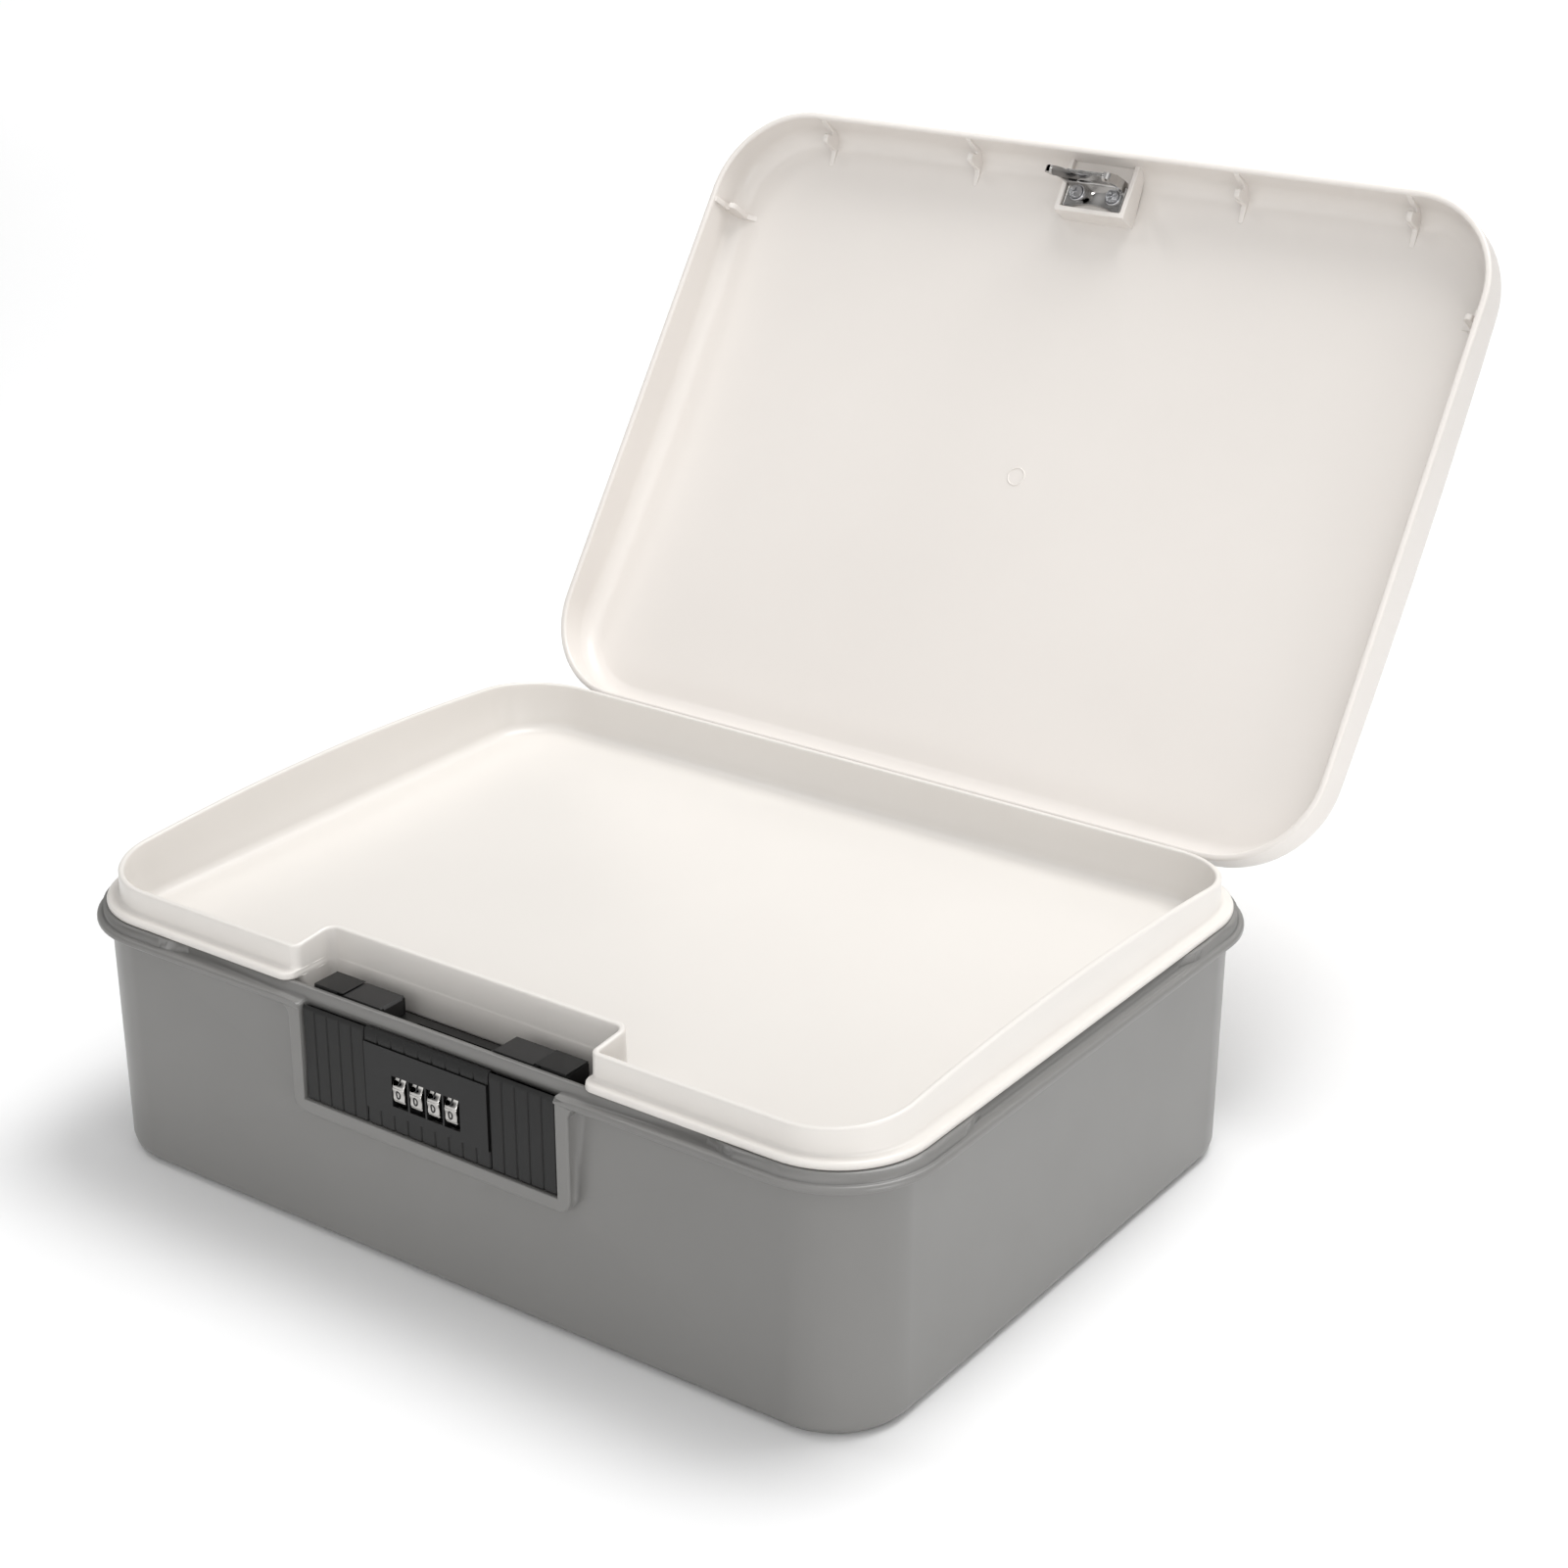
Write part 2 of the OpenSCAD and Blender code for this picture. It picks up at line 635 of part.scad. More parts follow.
module latch_bracket() {
  y0 = hook_y0;
  web_z = plate_z - 5.4;
  color("#c9cbcd") turn_lid(-open_angle) difference() {
    union() {
      box([-bracket_w / 2, y0, plate_z - bracket_t], [bracket_w / 2, y0 + bracket_d, plate_z - seat / 2]);
      face_xz(y0, y0 + bracket_t) polygon([[-hook_x, plate_z - 0.5], [hook_x, plate_z - 0.5],
        [hook_x, web_z], [-hook_x, web_z]]);
      both_sides() {
        // Arm, wide at the plate and slim at its end, and the tab that the bolt's nose holds
        profile_yz([[y0, plate_z - 0.5], [y0 + 9, plate_z - 0.5], [stem_y0 + stem_w, plate_z - 6],
          [stem_y0 + stem_w, hook_z0 + 0.8], [stem_y0 + stem_w - 0.8, hook_z0], [stem_y0 + 0.8, hook_z0],
          [stem_y0, hook_z0 + 0.8], [stem_y0, web_z - 1.6], [y0, web_z]], hook_x, bracket_t);
        face_xz(stem_y0 + 0.8, stem_y0 + stem_w - 0.8) polygon([[hook_x, hook_z0],
          [hook_x + bracket_t / 2 + 0.5, hook_z0], [hook_x + bracket_t / 2 + tab_w, tab_z1 - 0.9],
          [hook_x + bracket_t / 2 + tab_w, tab_z1], [hook_x, tab_z1]]);
      }
    }
    for (s = [-1, 1])
      translate([s * screw_x, screw_y, plate_z - 4]) cylinder(r = big_screw_r + 0.2, h = 8);
    translate([0, screw_y, plate_z - bracket_t - 1.6]) sphere(r = 2.2);
  }
}

module bracket_screws() {
  color("#a7a9ab") turn_lid(-open_angle)
    for (s = [-1, 1]) translate([s * screw_x, screw_y, 0]) difference() {
      union() {
        translate([0, 0, plate_z - bracket_t - 1.5 - seat / 2]) cylinder(r = big_head_r + 0.6, h = 1.5);
        translate([0, 0, plate_z - bracket_t - 1]) cylinder(r = big_screw_r - press, h = 6);
      }
      for (a = [0, 90]) translate([0, 0, plate_z - bracket_t - 1.3]) rotate([0, 0, a])
        cube([2.6, 0.5, 1.4], center = true);
    }
}

// Lock housing

module tower() {
  difference() {
    box([tower_x, tower_y0, roof_z1 - e], [tower_end, tower_y1, tower_z1]);
    // Channel for the bolt: open on top up to the cap, and open at the inner end
    box([tower_x - 1, bolt_y0 - slide / 2, roof_z1], [tower_end - cap_l, bolt_y1 + slide / 2, tower_z1 + 1]);
    box([tower_x - 1, bolt_y0 - slide / 2, roof_z1],
      [tower_end - house_t, bolt_y1 + slide / 2, tower_z1 - cap_t]);
  }
}

module lock_housing() {
  half = front_w / 2;
  color("#2b2c2d") difference() {
    union() {
      // Flange against the inside of the case, and the plate that fills the opening
      face_xz(flange_y0, plate_y1) translate([0, (house_z0 - 3.6 + front_z1 - 1.8) / 2])
        rounded(opening_w + 2 * frame_w - 0.2, front_z1 - 1.8 - house_z0 + 3.6, 2);
      box([-half, plate_y0, front_z0], [half, plate_y1, roof_z1]);
      // Open-backed case for the works
      difference() {
        box([-half, plate_y1 - e, house_z0], [half, tower_y1, roof_z1]);
        box([-half + house_t, plate_y1, house_z0 + house_t], [half - house_t, tower_y1 + 1, roof_z0]);
      }
      for (s = [-1, 1], z = corner_z)
        box([s * corner_x - 2.1, plate_y1 - 1, z - 2.2], [s * corner_x + 2.1, tower_y1, z + 2.2]);
      both_sides() tower();
      // Cheeks that hold the wheel shaft
      both_sides() {
        box([cheek_x, wheel_y - 3.2, wheel_z - 3.4], [cheek_x + cheek_t, plate_y1, wheel_z + 3.4]);
        rod_x(shaft_r + 1, cheek_x - 1.6, cheek_x + 1, wheel_y, wheel_z);
      }
    }
    difference() {
      box([-cheek_x, plate_y0 - 1, arm_z0 - slide], [cheek_x, plate_y1 + 2 * e, wheel_z + wheel_r + 4]);
      both_sides() rod_x(shaft_r + 1, cheek_x - 1.6, cheek_x + 1, wheel_y, wheel_z);
    }
    // Slots for the pads' arms and wedges
    box([-wedge_x0 - wedge_w - slide, plate_y0 - 1, arm_z0 - slide],
      [wedge_x0 + wedge_w + slide, plate_y1 + 2 * e, arm_z1 + slide]);
    both_sides() {
      box([wedge_x0 - slide, plate_y0 - 1, wedge_z0 - slide],
        [wedge_x0 + wedge_w + slide, plate_y1 + 2 * e, wedge_z1 + slide]);
      // Slot in the roof under the tower, for the bolt's neck
      box([tower_x + 1.2, plate_y1 + slide / 2, roof_z0 - 1],
        [neck_x1 + pad_travel + 2, nose_y1 + slide, roof_z1 + 1]);
    }
    // Mouth that the lid's hooks enter
    box([-hook_x - 3.5, tower_y0 - 1, wheel_z + wheel_r + 2], [hook_x + 3.5, nose_y1 + 0.5, roof_z1 + 1]);
    for (s = [-1, 1], z = post_z) rod_y(post_r + run, plate_y0 - 1, plate_y1 + 1, s * post_x, z);
    for (s = [-1, 1], z = cover_screw_z)
      rod_y(screw_r + 0.2, plate_y0 - 1, plate_y1 + 1, s * cover_screw_x, z);
    for (s = [-1, 1], z = corner_z) rod_y(screw_r, tower_y1 - 5, tower_y1 + 1, s * corner_x, z);
    for (s = [-1, 1], z = side_screw_z)
      rod_y(big_screw_r + 0.2, flange_y0 - 1, plate_y1 + 1, s * side_screw_x, z);
    rod_x(shaft_r + press, -cheek_x - cheek_t - 1, cheek_x + cheek_t + 1, wheel_y, wheel_z);
  }
}

module lock_back_cover() {
  half = front_w / 2 - 0.3;
  color("#3a3b3c") difference() {
    face_xz(tower_y1 + seat / 2, tower_y1 + cover_t) translate([0, (house_z0 + roof_z1) / 2])
      rounded(2 * half, roof_z1 - house_z0 - 0.6, 1.5);
    for (s = [-1, 1], z = corner_z) rod_y(screw_r + 0.2, tower_y1 - 1, tower_y1 + 3, s * corner_x, z);
  }
}

// Pan head screws along Y, heads towards the back
module screws_y(xs, zs, head_y, length, r, head_r) {
  for (x = xs, z = zs) difference() {
    union() {
      rod_y(head_r, head_y + seat / 2, head_y + head_t, x, z);
      rod_y(r - press, head_y - length, head_y + 1, x, z);
    }
    for (a = [0, 90]) translate([x, head_y + head_t, z]) rotate([0, a, 0])
      cube([head_r * 1.3, 1, head_r * 0.28], center = true);
  }
}

module back_cover_screws() {
  color("#8c8e90") screws_y([-corner_x, corner_x], corner_z, tower_y1 + cover_t, 5, screw_r, screw_head_r);
}

module housing_screws() {
  color("#8c8e90") screws_y([-side_screw_x, side_screw_x], side_screw_z, plate_y1,
    plate_y1 - frame_y - 2, big_screw_r, big_head_r);
}

module cover_screws() {
  color("#8c8e90") screws_y([-cover_screw_x, cover_screw_x], cover_screw_z, plate_y1,
    plate_y1 - skin_back + 0.6, screw_r, screw_head_r);
}

// Fixed middle of the lock front

// Grooves between flutes, side by side from x0 to x1
module grooves(x0, x1, count, z0, z1, y) {
  pitch = (x1 - x0) / count;
  for (i = [0 : count]) translate([x0 + i * pitch, y, z0])
    rotate([0, 0, 45]) cube([flute_d, flute_d, 2 * (z1 - z0)], center = true);
}

// Bevel along the top edge of the lock front
module front_bevel() {
  profile_yz([[skin_y - 1, front_z1 - top_bevel], [skin_y, front_z1 - top_bevel],
    [skin_y + top_bevel / 2, front_z1], [skin_y + top_bevel / 2, front_z1 + 1], [skin_y - 1, front_z1 + 1]], 0, front_w + 2);
}

module windows(grow) {
  for (i = [1 : 4])
    box([wheel_x(i) - window_w / 2 - grow, skin_y - 3, wheel_z - window_down - window_h / 2 - grow],
      [wheel_x(i) + window_w / 2 + grow, skin_back + 1, wheel_z - window_down + window_h / 2 + grow]);
  // Hollow round each wheel, behind its window
  for (i = [1 : 4])
    rod_x(wheel_r + slide, wheel_x(i) - window_w / 2 - grow, wheel_x(i) + window_w / 2 + grow, wheel_y, wheel_z);
}

module front_cover() {
  half = middle_w / 2;
  color("#3c3d3d") difference() {
    union() {
      box([-half, skin_y, front_z0], [half, skin_back, front_z1]);
      for (s = [-1, 1], z = cover_screw_z)
        rod_y(2, skin_back - 1, plate_y0 - seat / 2, s * cover_screw_x, z);
    }
    box([-half - 1, skin_y - 1, plate_z0], [half + 1, skin_y + 0.6, plate_z1]);
    windows(0);
    front_bevel();
    // Hollow behind the windows for the code discs
    rod_x(gate_r + slide, -cheek_x + 0.4, cheek_x - 0.4, wheel_y, wheel_z);
    for (zs = [[front_z0 - 1, plate_z0], [plate_z1, front_z1 + 1]])
      intersection() {
        grooves(-half, half, short_flutes, zs[0], zs[1], skin_y);
        box([-half - 1, skin_y - 2, zs[0]], [half + 1, skin_y + 2, zs[1]]);
      }
    for (s = [-1, 1], z = cover_screw_z) rod_y(screw_r, skin_back - 0.8, plate_y0 + 1, s * cover_screw_x, z);
  }
}

module window_plate() {
  half = middle_w / 2 - 0.2;
  color("#454646") difference() {
    box([-half, skin_y - plate_out, plate_z0 + 0.1], [half, skin_y + 0.6 - seat / 2, plate_z1 - 0.1]);
    windows(0.15);
  }
}

// Thumb pads, with wedge, guide posts and fence teeth (drawn for the right side)

module thumb_pad() {
  x0 = middle_w / 2 + slide;
  x1 = front_w / 2;
  y = skin_y;
  difference() {
    box([x0, y, front_z0], [x1, skin_back, front_z1]);
    grooves(x0, x1, pad_flutes, front_z0 - 1, front_z1 + 1, y);
    front_bevel();
    // Rebate that clears the case's bar when the pad is pressed
    box([x0 - 1, lip_y - pad_travel - seat, pad_step_z], [x1 + 1, skin_back + 1, front_z1 + 1]);
  }
  // Guide posts with snap heads behind the plate
  for (z = post_z) {
    rod_y(post_r, skin_back - 1, plate_y1 + 1, post_x, z);
    rod_y(post_r + 0.5, plate_y1 + seat, plate_y1 + 1.4, post_x, z);
  }
  // Wedge: its slanted back face drives the bolt outwards
  translate([0, 0, wedge_z0]) linear_extrude(wedge_z1 - wedge_z0) polygon([[wedge_x0, skin_back - 0.5],
    [wedge_x0 + wedge_w, skin_back - 0.5], [wedge_x0 + wedge_w, wedge_y], [wedge_x0, wedge_y + wedge_w]]);
  // Arm below the wheels, with a tooth in front of each of two code discs
  arm_y = skin_back + 0.2;
  box([wheel_pitch - tooth_t / 2, arm_y, arm_z0], [wedge_x0 + wedge_w, arm_y + 2.2, arm_z1]);
  box([x0 + 0.6, skin_back - 0.5, arm_z0], [wedge_x0 + wedge_w, arm_y + 1, arm_z1]);
  for (i = [1, 2]) box([i * wheel_pitch - tooth_t / 2, tooth_y1 - tooth_d, arm_z1 - 1],
    [i * wheel_pitch + tooth_t / 2, tooth_y1, tooth_z1]);
}

// Latch bolt (drawn for the right side)

module latch_bolt() {
  neck_x0 = tower_x + 2.1;
  leg_y0 = plate_y1 + slide;
  low_x = wedge_x0 + wedge_gap + wedge_w + wedge_y - leg_y0;
  difference() {
    union() {
      difference() {
        union() {
          box([tower_x - 0.2, bolt_y0, bolt_z0], [bolt_tail, bolt_y1, bolt_z1]);
          // Riser and thin cap, which slides over the tower's top
          box([tower_x - 0.2, bolt_y0, bolt_z1 - 1],
            [tower_end - cap_l - pad_travel - slide, bolt_y1, tower_z1 + seat + e]);
          box([tower_x - 0.2, tower_y0, tower_z1 + seat], [tower_end - cap_l + slide, tower_y1, slide_cap_z1]);
        }
        // Bevel on the cap's inner edge
        translate([tower_x - 0.2, 0, slide_cap_z1]) rotate([0, 45, 0]) cube([1.1, 4 * case_d, 1.1], center = true);
      }
      box([neck_x0, leg_y0, nose_z0], [neck_x1, nose_y1, bolt_z0 + e]);
      box([nose_x, nose_y0, nose_z0], [neck_x0 + 1, nose_y1, nose_z1]);
      translate([0, 0, wedge_z0 - 1]) linear_extrude(nose_z0 - wedge_z0 + 1 + e)
        polygon([[low_x, leg_y0], [neck_x1, leg_y0], [neck_x1, nose_y1], [wedge_x0, nose_y1],
          [wedge_x0, leg_y0 + low_x - wedge_x0]]);
    }
    // Lead-in chamfer on the nose, so that the hooks push it aside
    translate([nose_x, nose_y0 - 1, nose_z1]) rotate([0, 45, 0]) cube([1.6, 12, 1.6], center = true);
    rod_x(spring_r + 0.2, spring_x0 - e, bolt_tail + 1, spring_y, spring_z);
  }
}

// Coil spring between the bolt and the tower's outer wall
module bolt_spring() {
  turns = 5;
  steps = 16 * turns;
  sides = 6;
  r = spring_r - spring_wire;
  x0 = spring_x0 + seat + spring_wire;
  l = spring_x1 - spring_x0 - 2 * (seat + spring_wire);
  rings = [for (i = [0 : steps], k = [0 : sides - 1])
    let (a = 360 * turns * i / steps, b = 360 * k / sides, q = r + spring_wire * cos(b))
    [x0 + l * i / steps + spring_wire * sin(b), spring_y + q * cos(a), spring_z + q * sin(a)]];
  sleeve = [for (i = [0 : steps - 1], k = [0 : sides - 1], half = [0, 1])
    let (a = i * sides + k, b = i * sides + (k + 1) % sides)
    half == 0 ? [a, b, a + sides] : [b, b + sides, a + sides]];
  first = [for (k = [sides - 1 : -1 : 0]) k];
  last = [for (k = [0 : sides - 1]) steps * sides + k];
  polyhedron(rings, concat(sleeve, [first, last]));
}

// Number wheels and gate sleeves

module number_wheel(i) {
  color("#cfd0d1") translate([wheel_x(i) - wheel_w / 2, wheel_y, wheel_z]) rotate([0, 90, 0]) difference() {
    union() {
      cylinder(r = wheel_r - ridge_h, h = wheel_w);
      for (k = [0 : 9]) rotate([0, 0, 36 * k + asin(number_down / wheel_r)]) translate([wheel_r - 1.2, -0.55, 0])
        cube([1.15, 1.1, wheel_w]);
    }
    translate([0, 0, -1]) cylinder(r = sleeve_r + press, h = wheel_w + 2);
  }
}

// The sleeve passes through its wheel and carries a code disc: a lobe for each of the nine
// other digits, and a gap below when the wheel shows its code digit
module gate_sleeve(i) {
  out = i > 2 ? 1 : -1;
  x = wheel_x(i);
  disc = out * (wheel_pitch * (i > 2 ? i - 2 : 3 - i));
  color("#b59a5a") difference() {
    union() {
      rod_x(sleeve_r, x - wheel_w / 2, x + wheel_w / 2, wheel_y, wheel_z);
      rod_x(sleeve_r, min(x, disc - gate_t / 2), max(x, disc + gate_t / 2), wheel_y, wheel_z);
      rod_x(sleeve_r + 0.3, disc - gate_t / 2, disc + gate_t / 2, wheel_y, wheel_z);
      for (k = [1 : 9]) translate([disc - gate_t / 2, wheel_y, wheel_z]) rotate([36 * k, 0, 0])
        translate([0, -lobe_w / 2, -gate_r]) cube([gate_t, lobe_w, gate_r - sleeve_r + 0.4]);
    }
    rod_x(shaft_r + run, x - 2 * wheel_pitch, x + 2 * wheel_pitch, wheel_y, wheel_z);
  }
}

module wheel_shaft() {
  color("#9fa1a3") rod_x(shaft_r, -cheek_x - cheek_t - 0.4, cheek_x + cheek_t + 0.4, wheel_y, wheel_z);
}

// Leaf spring on the back cover, with one finger behind each wheel
module detent_spring() {
  y1 = tower_y1 - seat;
  tip = wheel_y + wheel_r + 0.2;
  color("#c8b98a") {
    box([-2.1 * wheel_pitch, y1 - 0.4, house_z0 + house_t + 1], [2.1 * wheel_pitch, y1, wheel_z - 7]);
    for (i = [1 : 4]) profile_yz([[y1, wheel_z - 7.4], [y1, wheel_z - 6.6], [tip + 1.2, wheel_z - 1],
      [tip + 0.5, wheel_z], [tip + 1.2, wheel_z + 1.6], [tip + 0.9, wheel_z + 1.8], [tip, wheel_z],
      [tip + 0.8, wheel_z - 1.2], [y1 - 0.4, wheel_z - 6.8], [y1 - 0.4, wheel_z - 7.4]], wheel_x(i), 3.2);
  }
}

case();
tray();
lid();
hinge_pin(-1);  // hinge_pin_left
hinge_pin(1);  // hinge_pin_right
latch_bracket();
bracket_screws();
lock_housing();
lock_back_cover();
back_cover_screws();
housing_screws();
front_cover();
window_plate();
cover_screws();
color("#3c3d3d") mirror([1, 0, 0]) thumb_pad();  // thumb_pad_left
color("#3c3d3d") thumb_pad();  // thumb_pad_right
color("#343536") mirror([1, 0, 0]) latch_bolt();  // latch_bolt_left
color("#343536") latch_bolt();  // latch_bolt_right
color("#b9bbbd") mirror([1, 0, 0]) bolt_spring();  // bolt_spring_left
color("#b9bbbd") bolt_spring();  // bolt_spring_right
number_wheel(1);  // number_wheel_1
number_wheel(2);  // number_wheel_2
number_wheel(3);  // number_wheel_3
number_wheel(4);  // number_wheel_4
gate_sleeve(1);  // gate_sleeve_1
gate_sleeve(2);  // gate_sleeve_2
gate_sleeve(3);  // gate_sleeve_3
gate_sleeve(4);  // gate_sleeve_4
wheel_shaft();
detent_spring();
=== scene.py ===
"""Looks of the combination lock box: materials, softened edges, wheel numbers, studio and camera."""
import json
import math

import bpy
import bmesh
import numpy as np
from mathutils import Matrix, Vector


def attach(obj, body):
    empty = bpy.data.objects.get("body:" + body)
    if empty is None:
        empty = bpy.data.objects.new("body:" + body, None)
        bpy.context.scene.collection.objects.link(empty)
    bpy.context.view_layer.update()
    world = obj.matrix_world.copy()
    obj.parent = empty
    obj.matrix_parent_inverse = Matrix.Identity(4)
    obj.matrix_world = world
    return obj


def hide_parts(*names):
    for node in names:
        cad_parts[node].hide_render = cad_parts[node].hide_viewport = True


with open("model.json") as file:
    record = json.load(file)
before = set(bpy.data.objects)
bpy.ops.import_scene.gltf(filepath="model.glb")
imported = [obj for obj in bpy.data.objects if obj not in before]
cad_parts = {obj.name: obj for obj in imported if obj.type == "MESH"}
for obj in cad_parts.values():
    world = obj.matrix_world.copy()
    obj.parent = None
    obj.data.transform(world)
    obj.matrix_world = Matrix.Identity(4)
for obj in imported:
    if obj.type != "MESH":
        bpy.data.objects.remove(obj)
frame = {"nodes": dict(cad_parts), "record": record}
nodes = frame["nodes"]
node_body = {n: b for b, members in frame["record"]["behaviour"]["bodies"].items() for n in members}
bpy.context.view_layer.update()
MM = 0.001

# Sizes in millimetres and degrees, most of them the solids' own
OPEN_ANGLE, HINGE_Y, HINGE_Z = 124.3, 123.9, 86.8
HINGE_X, KNUCKLE_R, LID_KNUCKLE, PIN_BORE_R = 95.0, 2.8, 22.0, 1.3
LID_W, LID_D, LID_R = 322.0, 241.6, 35.5
LID_Z, LID_T, LID_EDGE_H = 85.2, 2.4, 16.9
LID_CROWN, LID_ROUND, LIP_ROUND = 5.8, 8.0, 0.9
INNER_ROUND = LID_ROUND - LID_T + 1.0
CLIP_HALF, CLIP_GAP, CLIP_ABOVE_FLANGE = 1.1, 0.6, 0.6
FRONT_CLIPS, SIDE_CLIP_FROM_FRONT = (-122, -56, 56, 122), 40
BOSS_HALF, BOSS_WALL, BOSS_Y0, BOSS_Y1, BOSS_LOW = 14.6, 2.0, -119.6, -98.2, 92.2
TRAY_W, TRAY_D, TRAY_R = 312.0, 231.0, 30.5
FLANGE_Z0, FLANGE_Z1, FLANGE_W, TRAY_T = 88.1, 90.5, 4.3, 2.0
UPSTAND, ARCH, TRAY_FLOOR = 7.9, 5.8, 81.0
TRAY_EDGE_R, TRAY_FLOOR_R = 0.8, 4.2
NOTCH_W, NOTCH_Y, NOTCH_R = 115.0, -95.3, 3.0
BACK_Y, RIM_W, RIM_D, RIM_R = 119.0, 320.0, 238.0, 34.5
RIM_TOP, RIM_LOW = 85.0, 82.7
FRAME_Y, FRAME_HALF, FRAME_LOW, PAD_HALF = -118.6, 52.0, 49.0, 50.0
WHEEL_Y, WHEEL_Z, WHEEL_R, WHEEL_W, WHEEL_PITCH = -111.8, 66.5, 7.4, 4.6, 6.9
WHEEL_BORE, TILE_HOLLOW, RIDGE_GROOVE = 3.02, 0.45, 0.22
NUMBER_H, NUMBER_OUT, NUMBER_IN, TILE_ANGLE = 2.9, 0.03, 0.1, 36
SHOWN_TURN = math.degrees(math.asin(0.6 / WHEEL_R))
BRACKET_Y0, BRACKET_Y1, BRACKET_Z, BRACKET_HALF, BRACKET_T = -111.6, -100.6, 94.3, 12.0, 1.2
BRACKET_SCREW_X, BRACKET_SCREW_Y, BEND_R, FLANGE_LOW = 7.6, -106.0, 1.4, 85.2
FLANGE_HALF, FREE_ARCH, FREE_ARCH_HALF, DIMPLE, DIMPLE_R = 11.0, 1.5, 8.5, 0.55, 3.4
ARM_IN, ARM_OUT, ARM_HALF, ARM_ROOT_FLARE = 10.4, 11.6, 1.75, 0.35
TAB_X, TAB_Z, TAB_Y0, TAB_Y1 = 11.4, 76.8, -108.3, -105.9
TOWER_IN, TOWER_OUT, TOWER_TOP, TOWER_Y0, TOWER_Y1 = 40.2, 49.6, 87.6, -111.9, -101.7
COVER_TOP, COVER_LEDGE, COVER_IN = 88.95, 88.6, 37.7


# Materials

class Finish:
    """A Principled material with small helpers for its node tree."""

    def __init__(self, name):
        self.mat = bpy.data.materials.new(name)
        self.mat.use_nodes = True
        self.tree = self.mat.node_tree
        self.shader = self.tree.nodes["Principled BSDF"]
        self.place = self.tree.nodes.new("ShaderNodeTexCoord")

    def set(self, **values):
        """Sets constants on the shader's own sockets."""
        for socket, value in values.items():
            self.shader.inputs[socket].default_value = value

    def noise(self, scale, detail=2.0, rough=0.5, stretch=None):
        """Fractal noise on object coordinates, stretched along the axes if asked; scale is per metre."""
        texture = self.tree.nodes.new("ShaderNodeTexNoise")
        texture.inputs["Scale"].default_value = scale
        texture.inputs["Detail"].default_value = detail
        texture.inputs["Roughness"].default_value = rough
        source = self.place.outputs["Object"]
        if stretch is not None:
            mapping = self.tree.nodes.new("ShaderNodeMapping")
            mapping.inputs["Scale"].default_value = stretch
            self.tree.links.new(source, mapping.inputs["Vector"])
            source = mapping.outputs["Vector"]
        self.tree.links.new(source, texture.inputs["Vector"])
        return texture.outputs["Fac"]

    def spread(self, source, low, high, out_low=0, out_high=1):
        """Maps source from low..high to out_low..out_high, clamped."""
        node = self.tree.nodes.new("ShaderNodeMapRange")
        ends = {"From Min": low, "From Max": high, "To Min": out_low, "To Max": out_high}
        for socket, value in ends.items():
            node.inputs[socket].default_value = value
        self.tree.links.new(source, node.inputs["Value"])
        return node.outputs["Result"]

    def tinted(self, factor, first, second):
        """Base colour that runs from first to second with factor."""
        node = self.tree.nodes.new("ShaderNodeMix")
        node.data_type = "RGBA"
        for socket, value in (("A", first), ("B", second)):
            slot = [s for s in node.inputs if s.name == socket and s.type == "RGBA"][0]
            slot.default_value = (*value, 1.0)
        factor_slot = [s for s in node.inputs if s.name == "Factor" and s.type == "VALUE"][0]
        self.tree.links.new(factor, factor_slot)
        mixed = [s for s in node.outputs if s.type == "RGBA"][0]
        self.tree.links.new(mixed, self.shader.inputs["Base Color"])

    def rough(self, source):
        """Roughness from a texture."""
        self.tree.links.new(source, self.shader.inputs["Roughness"])

    def bump(self, source, distance, strength=1.0):
        """Fine relief of the given height in metres."""
        node = self.tree.nodes.new("ShaderNodeBump")
        node.inputs["Distance"].default_value = distance
        node.inputs["Strength"].default_value = strength
        self.tree.links.new(source, node.inputs["Height"])
        self.tree.links.new(node.outputs["Normal"], self.shader.inputs["Normal"])


def linear(screen):
    """Linear colour from three screen values of 0..255."""
    return tuple(((c / 255 + 0.055) / 1.055) ** 2.4 if c > 10 else c / 255 / 12.92 for c in screen)


def moulded(name, colour, tint, gloss, grain=0, ior=1.46):
    """Moulded plastic: cloudy tint, gloss that drifts, and a fine grain where the surface has one."""
    cloud_scale, gloss_scale, grain_scale = 9, 38, 2400
    dim, bright = 0.3, 0.7
    finish = Finish(name)
    finish.set(IOR=ior)
    cloud = finish.spread(finish.noise(cloud_scale, 3), dim, bright)
    finish.tinted(cloud, linear(colour), linear(tint))
    finish.rough(finish.spread(finish.noise(gloss_scale, 3), dim, bright, *gloss))
    if grain:
        finish.bump(finish.noise(grain_scale), grain)
    return finish


def metal(name, colour, tint, gloss, stretch, scratch):
    """Bare or plated metal: drawn or tumbled marks in the gloss and a faint scratch bump."""
    mark_scale, cloud_scale = 900, 60
    finish = Finish(name)
    finish.set(Metallic=1.0)
    marks = finish.noise(mark_scale, 4, 0.6, stretch)
    cloud = finish.spread(finish.noise(cloud_scale), 0.35, 0.65)
    finish.tinted(cloud, linear(colour), linear(tint))
    finish.rough(finish.spread(marks, 0.3, 0.7, *gloss))
    finish.bump(marks, scratch, 0.4)
    return finish


